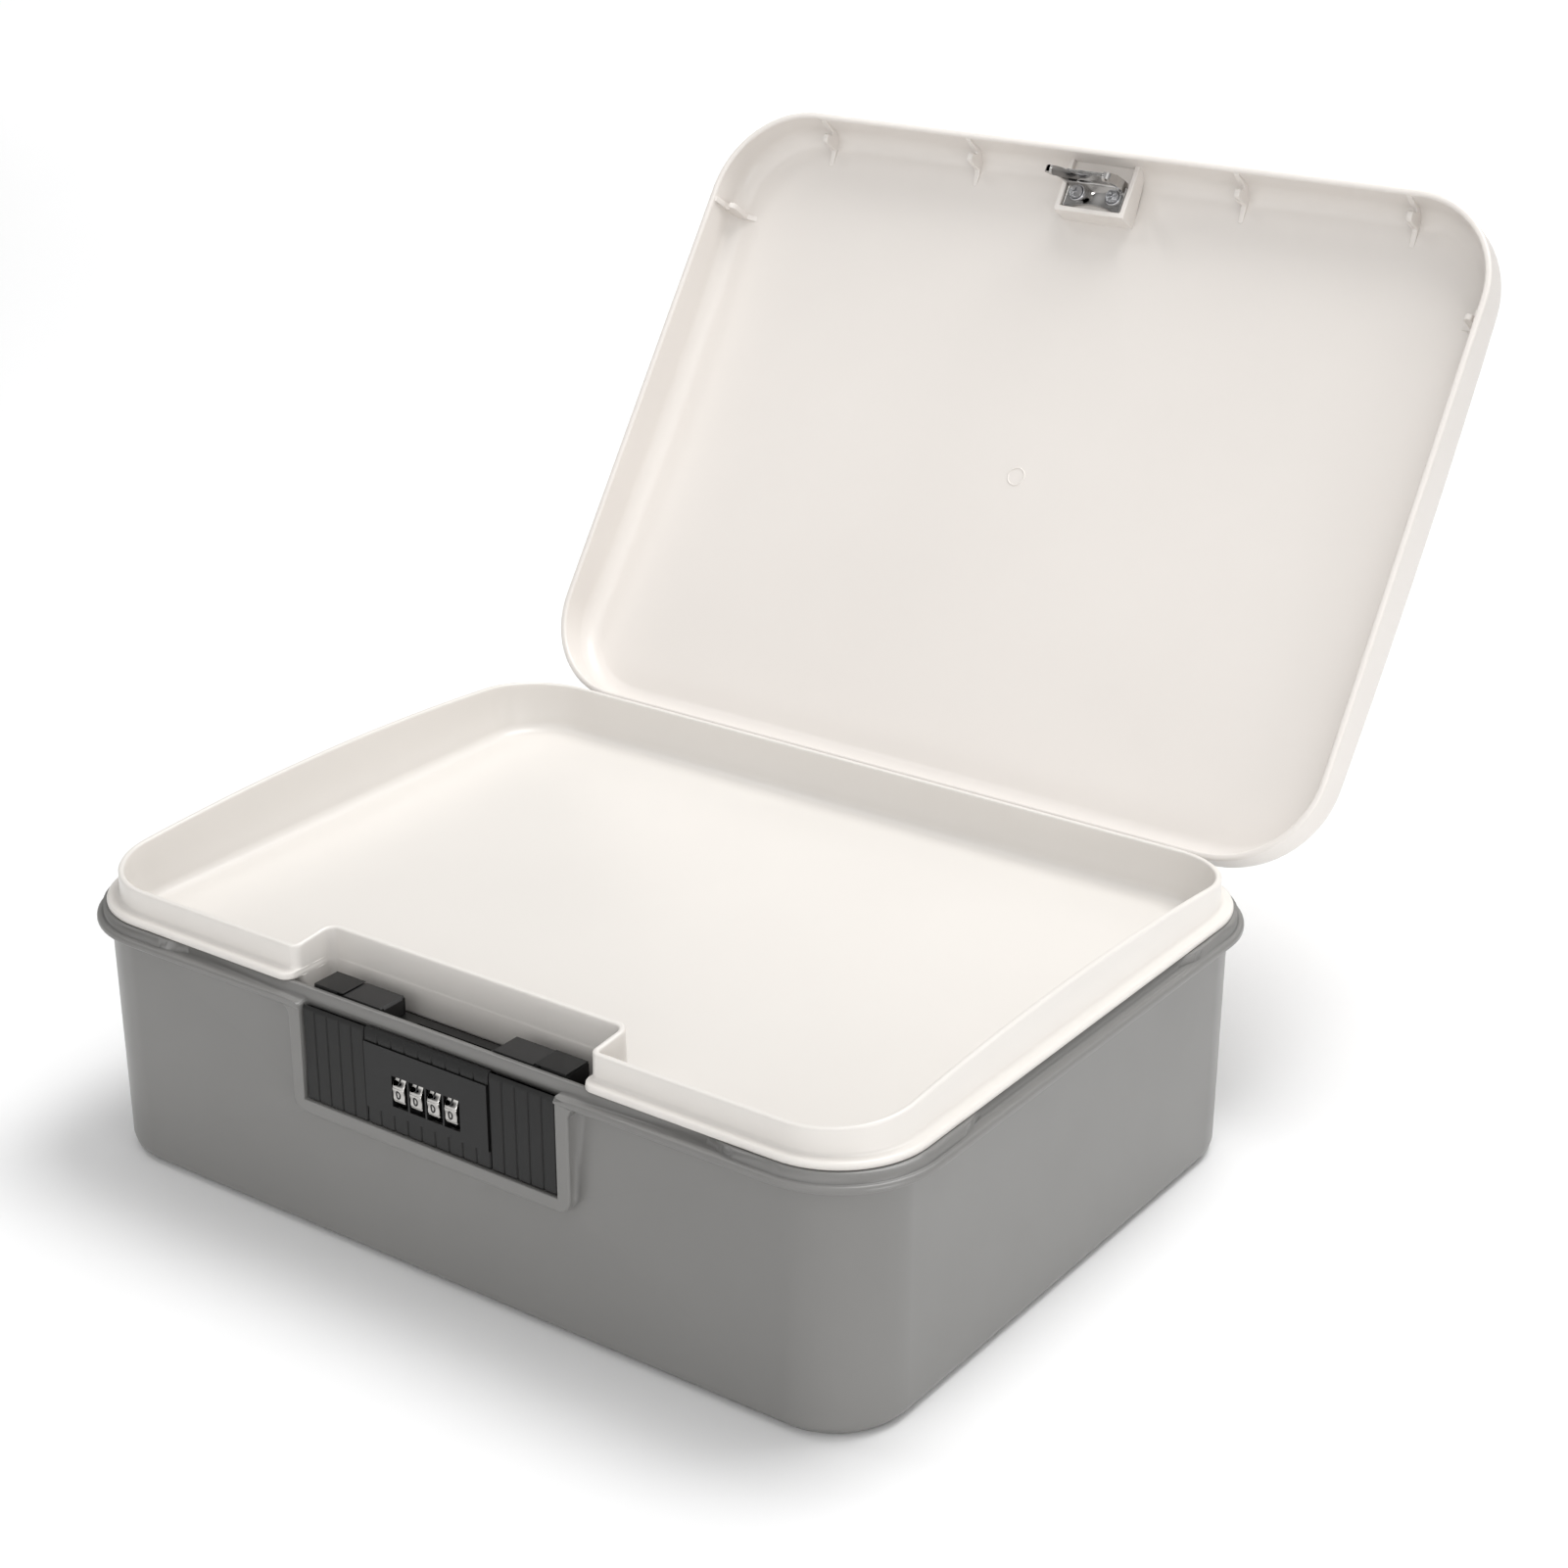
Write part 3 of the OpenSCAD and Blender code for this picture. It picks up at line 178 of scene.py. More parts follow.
PLASTICS = {  # slot: name, colour, tint, roughness from and to, grain height, index of refraction
    "case_plastic": ("case_grey", (124, 123, 121), (120, 119, 117), (0.3, 0.36), 2e-6, 1.46),
    "tray_plastic": ("tray_white", (220, 216, 211), (217, 213, 208), (0.29, 0.32), 0, 1.46),
    "lid_plastic": ("lid_white", (221, 216, 211), (218, 213, 208), (0.3, 0.33), 0, 1.46),
    "lock_plastic": ("lock_black", (24, 24, 23), (19, 19, 19), (0.34, 0.42), 3e-6, 1.4),
    "pad_plastic": ("pad_black", (24, 24, 23), (19, 19, 19), (0.38, 0.46), 4e-6, 1.4),
    "plate_plastic": ("plate_black", (22, 22, 22), (18, 18, 18), (0.36, 0.42), 3e-6, 1.4),
    "bolt_plastic": ("bolt_black", (34, 33, 33), (29, 29, 29), (0.34, 0.42), 3e-6, 1.46),
}
METALS = {  # slot: colour, tint, roughness from and to, stretch of the marks, scratch height
    "pin_steel": ((178, 178, 181), (160, 160, 164), (0.22, 0.38), (1, 12, 12), 4e-6),
    "bracket_steel": ((184, 182, 180), (170, 168, 166), (0.08, 0.16), (1, 6, 6), 4e-7),
    "screw_steel": ((196, 196, 198), (180, 180, 182), (0.1, 0.2), (1, 1, 1), 4e-7),
    "spring_steel": ((176, 173, 164), (158, 154, 146), (0.2, 0.34), (8, 1, 8), 4e-6),
    "wheel_chrome": ((188, 186, 183), (174, 172, 169), (0.1, 0.2), (10, 1, 1), 4e-7),
    "sleeve_brass": ((190, 158, 92), (168, 136, 76), (0.24, 0.4), (10, 1, 1), 5e-6),
}
finishes = {slot: moulded(*looks) for slot, looks in PLASTICS.items()}
finishes.update({slot: metal(slot, *looks) for slot, looks in METALS.items()})
number_paint = moulded("number_black", (26, 26, 26), (20, 20, 20), (0.4, 0.5))
node_slot = {n: obj.data.materials[0].name.split(".")[0] for n, obj in nodes.items()}


# Making pieces: sizes are in millimetres and are turned to metres when the mesh is made

def place_piece(name, points, faces, slot, body, finish=None):
    """Makes a mesh from points and faces, merges points that coincide, turns its faces outwards, gives it
    its finish, and lets it ride on a body."""
    mesh = bpy.data.meshes.new(name)
    mesh.from_pydata((np.asarray(points) * MM).tolist(), [], [list(map(int, f)) for f in faces])
    bm = bmesh.new()
    bm.from_mesh(mesh)
    bmesh.ops.remove_doubles(bm, verts=bm.verts, dist=1e-7)
    bmesh.ops.recalc_face_normals(bm, faces=bm.faces)
    for face in bm.faces:
        face.smooth = True
    bm.to_mesh(mesh)
    bm.free()
    mesh.materials.append((finish or finishes[slot]).mat)
    piece = bpy.data.objects.new(name, mesh)
    bpy.context.scene.collection.objects.link(piece)
    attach(piece, body)
    return piece


def round_edges(piece, width, angle=32, segments=2, weights=None):
    """Rounds the edges sharper than angle by width, times each edge's share where weights gives one, and
    keeps the flat faces flat in shading."""
    bevel = piece.modifiers.new("edge", "BEVEL")
    bevel.width = width * MM
    bevel.segments = segments
    bevel.limit_method = "ANGLE" if weights is None else "WEIGHT"
    bevel.angle_limit = math.radians(angle)
    if weights is not None:
        bm = bmesh.new()
        bm.from_mesh(piece.data)
        sharp = np.array([e.calc_face_angle(0) > math.radians(angle) for e in bm.edges])
        middle = np.array([(e.verts[0].co + e.verts[1].co) / 2 for e in bm.edges]) / MM
        bm.free()
        share = piece.data.attributes.new("bevel_weight_edge", "FLOAT", "EDGE")
        share.data.foreach_set("value", np.where(sharp, weights(middle), 0).astype(np.float32))
        bevel.use_clamp_overlap = False
    bevel.miter_outer = "MITER_ARC"
    even = piece.modifiers.new("even", "WEIGHTED_NORMAL")
    even.mode = "FACE_AREA"
    even.weight = 50
    return piece


def softened(node, width, segments, weights=None):
    """A merged copy of a CAD node's mesh with its sharp edges rounded by width, standing in for the node."""
    bm = bmesh.new()
    bm.from_mesh(nodes[node].data)
    bmesh.ops.remove_doubles(bm, verts=bm.verts, dist=1e-6)
    bmesh.ops.dissolve_limit(bm, angle_limit=math.radians(0.05), verts=bm.verts, edges=bm.edges)
    if weights is not None:
        bmesh.ops.triangulate(bm, faces=bm.faces)
    for face in bm.faces:
        face.smooth = True
    mesh = bpy.data.meshes.new("soft_" + node)
    bm.to_mesh(mesh)
    bm.free()
    piece = bpy.data.objects.new("soft_" + node, mesh)
    bpy.context.scene.collection.objects.link(piece)
    slot = node_slot[node]
    mesh.materials.append(finishes[slot].mat)
    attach(piece, node_body[node])
    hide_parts(node)
    return round_edges(piece, width, segments=segments, weights=weights)


def ring_faces(count, around):
    """Quads between count rings of around points each, ring after ring."""
    row = np.arange(count - 1)[:, None] * around
    column = np.arange(around)[None, :]
    after = (column + 1) % around
    quads = np.stack([row + column, row + after, row + around + after, row + around + column], -1)
    return quads.reshape(-1, 4)


def fan(centre, ring):
    """Triangles between the centre's index and the indices of a ring."""
    return np.stack([np.full(len(ring), centre), np.roll(ring, -1), ring], 1).tolist()


def prism(profile, start, end, place):
    """A closed bar: the profile (k, 2) stands at start and at end, where place turns it into points."""
    profile = np.asarray(profile, float)
    count = len(profile)
    points = np.concatenate([place(profile, start), place(profile, end)])
    side = np.arange(count)
    after = np.roll(side, -1)
    faces = np.stack([side, after, after + count, side + count], 1).tolist()
    return points, faces + [side[::-1].tolist(), (side + count).tolist()]


def along_x(profile, x):
    """A profile of y and z, set at x."""
    return np.column_stack([np.full(len(profile), x), profile[:, 0], profile[:, 1]])


def along_y(profile, y):
    """A profile of x and z, set at y."""
    return np.column_stack([profile[:, 0], np.full(len(profile), y), profile[:, 1]])


def along_z(profile, z):
    """A profile of x and y, set at z."""
    return np.column_stack([profile[:, 0], profile[:, 1], np.full(len(profile), z)])


def lathed(profile, centre, axis, steps):
    """A profile of (distance along the axis, radius) turned about the axis through centre: axis is 0 for x
    and 2 for z, and the profile's first point is its last one too, so that the form is closed."""
    along, radius = np.asarray(profile, float)[:-1].T[..., None]
    turn = np.radians(np.arange(steps) * 360 / steps)
    rings = np.stack(np.broadcast_arrays(along, radius * np.cos(turn), radius * np.sin(turn)), -1)
    points = (np.roll(rings, axis, -1) + centre).reshape(-1, 3)
    return points, (ring_faces(len(profile), steps) % len(points)).tolist()


def joined(parts):
    """Several closed forms as one list of points and faces."""
    points, faces, base = [], [], 0
    for part_points, part_faces in parts:
        points.append(part_points)
        faces += [[base + i for i in face] for face in part_faces]
        base += len(part_points)
    return np.concatenate(points), faces


def rounding(radius, start, end, count):
    """Steps over a rounded edge: at angle a the inset is R (1 - cos a) and the drop is R (1 - sin a)."""
    a = np.radians(np.linspace(start, end, count))
    return np.stack([radius * (1 - np.cos(a)), radius * (1 - np.sin(a))], 1)


def rounded_ring(width, depth, radius, straight=24, arc=16):
    """Rings of a rounded rectangle, with one width, depth and radius per ring. Each quarter has arc steps on
    its corner, at centre + R (cos a, sin a), and straight steps along the side to the next corner."""
    width, depth, radius = (np.asarray(v, float)[:, None] for v in (width, depth, radius))
    quadrants = ((1, 1), (-1, 1), (-1, -1), (1, -1))
    share = np.linspace(0, 1, straight + 1)[1:-1][None, :, None]
    parts = []
    for k, (side_x, side_y) in enumerate(quadrants):
        next_x, next_y = quadrants[(k + 1) % 4]
        turn = np.radians(90 * k + np.linspace(0, 90, arc + 1))
        last_turn = math.radians(90 * (k + 1))
        offset = np.concatenate([radius * math.cos(last_turn), radius * math.sin(last_turn)], 1)
        centre = np.concatenate([side_x * (width / 2 - radius), side_y * (depth / 2 - radius)], 1)
        after = np.concatenate([next_x * (width / 2 - radius), next_y * (depth / 2 - radius)], 1)
        corner = np.stack([radius * np.cos(turn), radius * np.sin(turn)], -1)
        parts.append(centre[:, None, :] + corner)
        parts.append((centre + offset)[:, None, :] * (1 - share) + (after + offset)[:, None, :] * share)
    return np.concatenate(parts, 1)


def arch(y, half, rise):
    """Height below the middle of a circular arc that falls by rise at half, at distance y."""
    radius = (half * half + rise * rise) / (2 * rise)
    return radius - np.sqrt(radius * radius - np.minimum(np.abs(y), half) ** 2)


# Lid

def turned_open(points):
    """Points of the closed lid, turned about the hinge line by the open angle."""
    angle = math.radians(OPEN_ANGLE)
    y, z = points[..., 1] - HINGE_Y, points[..., 2] - HINGE_Z
    out = points.copy()
    out[..., 1] = HINGE_Y + math.cos(angle) * y + math.sin(angle) * z
    out[..., 2] = HINGE_Z - math.sin(angle) * y + math.cos(angle) * z
    return out


def lid_piece(name, parts, edge, slot="lid_plastic", angle=40):
    """Closed forms of the closed lid as one piece on the open lid, with its edges rounded by edge."""
    points, faces = joined(parts)
    return round_edges(place_piece(name, turned_open(points), faces, slot, "lid_body"), edge, angle)


def lid_top(y):
    """Height of the closed lid's outer top over y: highest along the middle, lower at front and back."""
    return LID_Z + LID_EDGE_H + LID_CROWN - arch(y, LID_D / 2, LID_CROWN)


def lid_shell():
    """One closed skin of rings round the lid: from the middle of the outer top over the rounded edge, down
    the wall, round the lip, up the inner wall and back to the middle of the inner top. A row is a ring's
    inset from the outline, its level, and whether the level is a drop below the crowned top or a height."""
    wall_top = LID_EDGE_H - LID_ROUND - 0.7
    rows = [(inset, 0, True) for inset in (32, 24, 16, 11)]
    rows += [(inset, drop, True) for inset, drop in rounding(LID_ROUND, 90, 0, 10)]
    rows += [(0, LID_Z + height, False) for height in (wall_top, 6, 3, 1.6)]
    rows += [(inset, LID_Z + drop, False) for inset, drop in rounding(LIP_ROUND, 0, 90, 6)]
    rows += [(LID_T - inset, LID_Z + drop, False) for inset, drop in rounding(LIP_ROUND, 90, 0, 6)]
    rows += [(LID_T, LID_Z + height, False) for height in (1.6, 3, 5, 7)]
    rows += [(LID_T + inset, LID_T + drop, True) for inset, drop in rounding(INNER_ROUND, 0, 90, 12)]
    rows += [(inset, LID_T, True) for inset in (13, 18, 24, 32)]
    inset, level, hung = np.array(rows, float).T
    flat = rounded_ring(LID_W - 2 * inset, LID_D - 2 * inset, np.maximum(LID_R - inset, 1.5))
    level = level[:, None]
    z = np.where(hung[:, None] > 0, lid_top(flat[..., 1]) - level, level)
    rings = np.concatenate([flat, z[..., None]], -1)
    # Both tops run in to their middle on shrinking copies of the last ring
    shares = np.array([0.82, 0.64, 0.46, 0.3, 0.16, 0.06])[:, None, None]
    outer = rings[0][None, :, :2] * shares[::-1]
    under = rings[-1][None, :, :2] * shares
    outer = np.concatenate([outer, lid_top(outer[..., 1])[..., None]], -1)
    under = np.concatenate([under, lid_top(under[..., 1])[..., None] - LID_T], -1)
    rings = np.concatenate([outer, rings, under], 0)
    count, around = rings.shape[:2]
    middle = np.array([[0, 0, lid_top(0.0)], [0, 0, lid_top(0.0) - LID_T]])
    points = np.concatenate([rings.reshape(-1, 3), middle])
    ring = np.arange(around)
    last = count * around
    faces = ring_faces(count, around).tolist()
    faces += fan(last, ring) + fan(last + 1, last - around + ring)
    piece = place_piece("lid_shell", turned_open(points), faces, "lid_plastic", "lid_body")
    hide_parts("lid")


def clip_outline(reach, top):
    """Clip seen from its side, u from the wall and v above the lip: thin root, notch, beak, and the curve of
    the lid's inner rounding, set a little into the plastic."""
    sunk = 0.6
    tip = FLANGE_Z1 - LID_Z + CLIP_ABOVE_FLANGE
    root = [[-sunk, 1], [0.5, 1], [0.9, 3.4], [1.3, tip + 1.4]]
    notch = [[1.7, tip + 2.6], [2.4, tip + 2.9], [2.9, tip + 2.2], [3.1, tip + 0.5]]
    beak = [[3.7, tip], [reach - 1.4, tip], [reach - 0.4, tip + 0.6], [reach, tip + 1.8]]
    foot = [[reach, top - 1.4], [reach + 1.2, top - 0.8], [reach + 6, top + sunk]]
    a = np.radians(np.linspace(90, 0, 9))
    curve = np.column_stack([INNER_ROUND - (INNER_ROUND + sunk) * np.cos(a),
                             top - INNER_ROUND + (INNER_ROUND + sunk) * np.sin(a)])
    return np.concatenate([root, notch, beak, foot, curve])


def lid_clips():
    """Six clips: four on the front wall and one on each side wall."""
    inner_y, inner_x = LID_D / 2 - LID_T, LID_W / 2 - LID_T
    reach_y = inner_y - (TRAY_D / 2 - FLANGE_W) - CLIP_GAP
    reach_x = inner_x - (TRAY_W / 2 - FLANGE_W) - CLIP_GAP
    side_y = -LID_D / 2 + SIDE_CLIP_FROM_FRONT
    foot_from_wall = 5
    front = clip_outline(reach_y, lid_top(-inner_y + foot_from_wall) - LID_T - LID_Z)
    side = clip_outline(reach_x, lid_top(side_y) - LID_T - LID_Z)
    on_front = front + (-inner_y, LID_Z)
    parts = [prism(on_front, x - CLIP_HALF, x + CLIP_HALF, along_x) for x in FRONT_CLIPS]
    for hand in (-1, 1):
        on_side = side * (-hand, 1) + (hand * inner_x, LID_Z)
        parts.append(prism(on_side, side_y - CLIP_HALF, side_y + CLIP_HALF, along_y))
    lid_piece("lid_clips", parts, edge=0.35, angle=50)


def latch_boss():
    """U-shaped wall round the bracket's recess and the recess's floor, both run up into the lid's top."""
    half, wall, sunk = BOSS_HALF, BOSS_WALL, 0.7
    arms_y = BOSS_Y1 - wall
    outline = np.array([[-half, BOSS_Y0], [-half + wall, BOSS_Y0], [-half + wall, arms_y],
                        [half - wall, arms_y], [half - wall, BOSS_Y0], [half, BOSS_Y0],
                        [half, BOSS_Y1], [-half, BOSS_Y1]])
    low = along_z(outline, BOSS_LOW)
    high = low.copy()
    # The lid's rounding leaves less height at the front ends
    high[:, 2] = lid_top(outline[:, 1]) - LID_T + sunk - np.where(outline[:, 1] < -115, 2.4, 0)
    side = np.arange(len(outline))
    after = np.roll(side, -1)
    faces = np.stack([side, after, after + len(side), side + len(side)], 1).tolist()
    walls = (np.concatenate([low, high]), faces + [side.tolist(), (side + len(side)).tolist()])
    front_y, back_y, bend_y = BOSS_Y0 + 1, BOSS_Y1 - 1, -112
    under = lid_top(np.array([BOSS_Y1, bend_y, BOSS_Y0])) - LID_T + sunk
    profile = [[front_y, BRACKET_Z], [back_y, BRACKET_Z], [back_y, under[0]], [bend_y, under[1]],
               [front_y, under[2] - 3.2]]
    lid_piece("latch_boss", [walls, prism(profile, -half + 1, half - 1, along_x)], edge=0.45)


def lid_knuckles():
    """Two knuckles bored for their pins, each with its web into the lid's back wall."""
    half, chamfer, outer, bore = LID_KNUCKLE / 2, 0.3, KNUCKLE_R, PIN_BORE_R
    tube = [(-half, bore), (-half, outer - chamfer), (-half + chamfer, outer), (half - chamfer, outer),
            (half, outer - chamfer), (half, bore), (-half, bore)]
    wall_y, pin_y = LID_D / 2 - 1.2, HINGE_Y - 1.6
    web = [[wall_y, HINGE_Z - 1], [pin_y, HINGE_Z - 1], [pin_y, HINGE_Z + 1.8], [wall_y, HINGE_Z + 2.2]]
    parts = []
    for x in (-HINGE_X, HINGE_X):
        parts.append(lathed(tube, (x, HINGE_Y, HINGE_Z), 0, 40))
        parts.append(prism(web, x - half, x + half, along_x))
    lid_piece("lid_knuckles", parts, edge=0.2)


def lid_stop_lugs():
    """Lugs of the open lid that rest on the bar behind the rim, already in the open lid's place."""
    half = LID_KNUCKLE / 2
    back_y, lug_z, low_z = HINGE_Y - 0.4, RIM_LOW + 2.6, RIM_LOW + 0.4
    profile = [[BACK_Y + 0.2, low_z], [back_y, low_z], [back_y, HINGE_Z - 1.5],
               [BACK_Y + 1.6, lug_z], [BACK_Y + 0.2, lug_z]]
    points, faces = joined([prism(profile, x - half, x + half, along_x) for x in (-HINGE_X, HINGE_X)])
    lugs = place_piece("lid_stop_lugs", points, faces, "lid_plastic", "lid_body")
    round_edges(lugs, width=0.3, angle=40)


def gate_ring():
    """Faint moulded ring in the middle of the lid's inside: a low half-round rim turned about the middle."""
    radius, thick, height = 3.3, 0.35, 0.3
    a = np.radians(np.linspace(0, 360, 13))
    top = lid_top(0.0) - LID_T + 0.05
    profile = np.column_stack([top - height * np.sin(a), radius + thick * np.cos(a)])
    points, faces = lathed(profile, (0, 0, 0), 2, 48)
    place_piece("lid_gate_ring", turned_open(points), faces, "lid_plastic", "lid_body")


# Latch bracket

def sheet(middle, normal, thickness):
    """A closed sheet of one thickness about a grid of middle points: both sides are the grid moved half the
    thickness along its normals, and strips join them along the grid's four edges."""
    rows, cols = middle.shape[:2]
    points = np.concatenate([(middle + side * thickness / 2 * normal).reshape(-1, 3) for side in (1, -1)])
    cell = (np.arange(rows - 1)[:, None] * cols + np.arange(cols - 1)).ravel()
    front = np.stack([cell, cell + 1, cell + cols + 1, cell + cols], 1)
    grid = np.arange(rows * cols).reshape(rows, cols)
    edge = np.concatenate([grid[0], grid[1:, -1], grid[-1, -2::-1], grid[-2:0:-1, 0]])
    after = np.roll(edge, -1)
    strips = np.stack([edge, after, after + rows * cols, edge + rows * cols], 1)
    return points, np.concatenate([front, front[:, ::-1] + rows * cols, strips]).tolist()


def bracket_sheet():
    """Bent steel sheet: along its path it runs from the plate's free edge to the bend, round a quarter turn
    of radius BEND_R and down the flange; across, x is the half width times v. The free edge is an arch, and
    a dimple of depth D exp(-(r / R)^2) rises in the middle of the plate."""
    across, plate_rows, bend_rows, flange_rows = 49, 30, 8, 7
    v = np.linspace(-1, 1, across)
    flat = np.linspace(0, 1, plate_rows)[:, None]
    turn = np.radians(np.linspace(0, 90, bend_rows + 1))[1:, None]
    down = np.linspace(0, 1, flange_rows + 1)[1:, None]
    every = np.ones((1, across))
    plate_z = BRACKET_Z - BRACKET_T / 2
    bend_y, bend_z = BRACKET_Y0 + BRACKET_T / 2 + BEND_R, plate_z - BEND_R
    free = BRACKET_Y1 - FREE_ARCH * np.clip(1 - (v * BRACKET_HALF / FREE_ARCH_HALF) ** 2, 0, 1)
    y = np.concatenate([free + (bend_y - free) * flat,
                        (bend_y - BEND_R * np.sin(turn)) * every,
                        (bend_y - BEND_R + 0 * down) * every])
    z = np.concatenate([(plate_z + 0 * flat) * every,
                        (bend_z + BEND_R * np.cos(turn)) * every,
                        (bend_z + (FLANGE_LOW - bend_z) * down) * every])
    x = v * (FLANGE_HALF + (BRACKET_HALF - FLANGE_HALF) * np.clip((z - bend_z) / BEND_R, 0, 1))
    bell = DIMPLE * np.exp(-(x ** 2 + (y - BRACKET_SCREW_Y) ** 2) / DIMPLE_R ** 2)
    on_plate = np.arange(len(z))[:, None] < plate_rows
    middle = np.stack([x, y, z - np.where(on_plate, bell, 0)], -1)
    normal = np.cross(np.gradient(middle, axis=1), np.gradient(middle, axis=0))
    normal /= np.linalg.norm(normal, axis=-1, keepdims=True)
    return sheet(middle, normal, BRACKET_T)


def hook_arm(side):
    """An arm of the bracket: a strip whose middle line is the curve (1-t)^2 A + 2 t (1-t) B + t^2 C in y and
    z, wider at its root, with a half-round end."""
    t = np.linspace(0, 1, 15)[:, None]
    root, pull, end = np.array([(-109.9, 93.4), (-110.2, 85.0), (-107.1, 77.3)])
    line = (1 - t) ** 2 * root + 2 * t * (1 - t) * pull + t ** 2 * end
    along = np.gradient(line, axis=0)
    along /= np.linalg.norm(along, axis=1, keepdims=True)
    across = np.stack([-along[:, 1], along[:, 0]], 1)
    wide = ARM_HALF + ARM_ROOT_FLARE * (1 - t) ** 2
    turn = np.radians(np.linspace(0, 180, 12))[1:-1, None]
    round_end = end + ARM_HALF * (np.cos(turn) * across[-1] + np.sin(turn) * along[-1])
    outline = np.concatenate([line + wide * across, round_end, (line - wide * across)[::-1]])
    return prism(outline, side * ARM_IN, side * ARM_OUT, along_x)


def hook_tab(side):
    """The tab at an arm's end, bent outwards: its outline lies between two arcs about the same point, each
    at centre + (P cos a, Q sin a)."""
    a = np.radians(np.linspace(-90, 85, 9))
    arcs = []
    for reach, height in ((2.1, 1.3), (1.0, 0.3)):
        arcs.append(np.stack([TAB_X + reach * np.cos(a), TAB_Z + height * np.sin(a)], 1))
    outline = np.concatenate([arcs[0], arcs[1][::-1]])
    return prism(outline * (side, 1), TAB_Y0, TAB_Y1, along_y)


def latch_plate():
    """The bracket as one piece: its sheet, and two arms with their tabs."""
    parts = [bracket_sheet()]
    for side in (-1, 1):
        parts += [hook_arm(side), hook_tab(side)]
    plate = lid_piece("latch_plate", parts, edge=0.28, slot="bracket_steel")
    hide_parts("latch_bracket")


def screw_washers():
    """A washer ring with a round section under each of the bracket's screw heads."""
    radius, thick, height, below_plate = 2.85, 0.34, 0.3, 0.15
    a = np.radians(np.linspace(0, 360, 13))
    level = BRACKET_Z - BRACKET_T - below_plate
    ring = np.column_stack([level + height * np.sin(a), radius + thick * np.cos(a)])
    places = ((-BRACKET_SCREW_X, BRACKET_SCREW_Y, 0), (BRACKET_SCREW_X, BRACKET_SCREW_Y, 0))
    points, faces = joined([lathed(ring, place, 2, 36) for place in places])
    place_piece("screw_washers", turned_open(points), faces, "screw_steel", "lid_body")


# Tray

def tray_top(y):
    """Height of the tray wall's edge over y: arched along the sides, lowest at front and back."""
    return FLANGE_Z1 + UPSTAND + ARCH - arch(y, TRAY_D / 2 - FLANGE_W, ARCH)


def tray_rings(outer, notch, beside, bay, side=26):
    """Rings round the tray's outline with its notch. Per ring: outer is the inset of the outline, notch the
    inset of the notch's three faces, beside and bay the radii of the corners beside the notch and of the
    notch's inner corners. A corner point is V - inset N - r (N - n), with N the sum of both faces' normals
    and n the normal at the point; on the notch's inner corners, which turn back, r changes its sign."""
    outer, notch, beside, bay = (v[:, None] for v in (outer, notch, beside, bay))
    big = TRAY_R - outer
    w, d, notch_w = TRAY_W / 2, TRAY_D / 2, NOTCH_W / 2
    corners = (  # x, y, inset of x, inset of y, normal x, normal y, radius, turn from, turn to, steps, span
        (w, d, outer, outer, 1, 1, big, 0, 90, 18, 8),
        (-w, d, outer, outer, -1, 1, big, 90, 180, 18, side),
        (-w, -d, outer, outer, -1, -1, big, 180, 270, 18, 14),
        (-notch_w, -d, notch, outer, 1, -1, beside, 270, 360, 8, 6),
        (-notch_w, NOTCH_Y, notch, notch, 1, -1, bay, 360, 270, 8, 14),
        (notch_w, NOTCH_Y, notch, notch, -1, -1, bay, 270, 180, 8, 6),
        (notch_w, -d, notch, outer, -1, -1, beside, 180, 270, 8, 14),
        (w, -d, outer, outer, 1, -1, big, 270, 360, 18, side))
    arcs = []
    for x, y, inset_x, inset_y, normal_x, normal_y, radius, turn_from, turn_to, steps, span in corners:
        a = np.radians(np.linspace(turn_from, turn_to, steps + 1))
        signed = radius if turn_to > turn_from else -radius
        across = x - inset_x * normal_x - signed * (normal_x - np.cos(a))
        deep = y - inset_y * normal_y - signed * (normal_y - np.sin(a))
        arcs.append(np.stack(np.broadcast_arrays(across, deep), -1))
    parts = []
    for k, corner in enumerate(corners):
        share = np.linspace(0, 1, corner[-1] + 1)[1:-1][None, :, None]
        after = arcs[(k + 1) % len(arcs)]
        parts += [arcs[k], arcs[k][:, -1:, :] * (1 - share) + after[:, :1, :] * share]
    return np.concatenate(parts, 1)


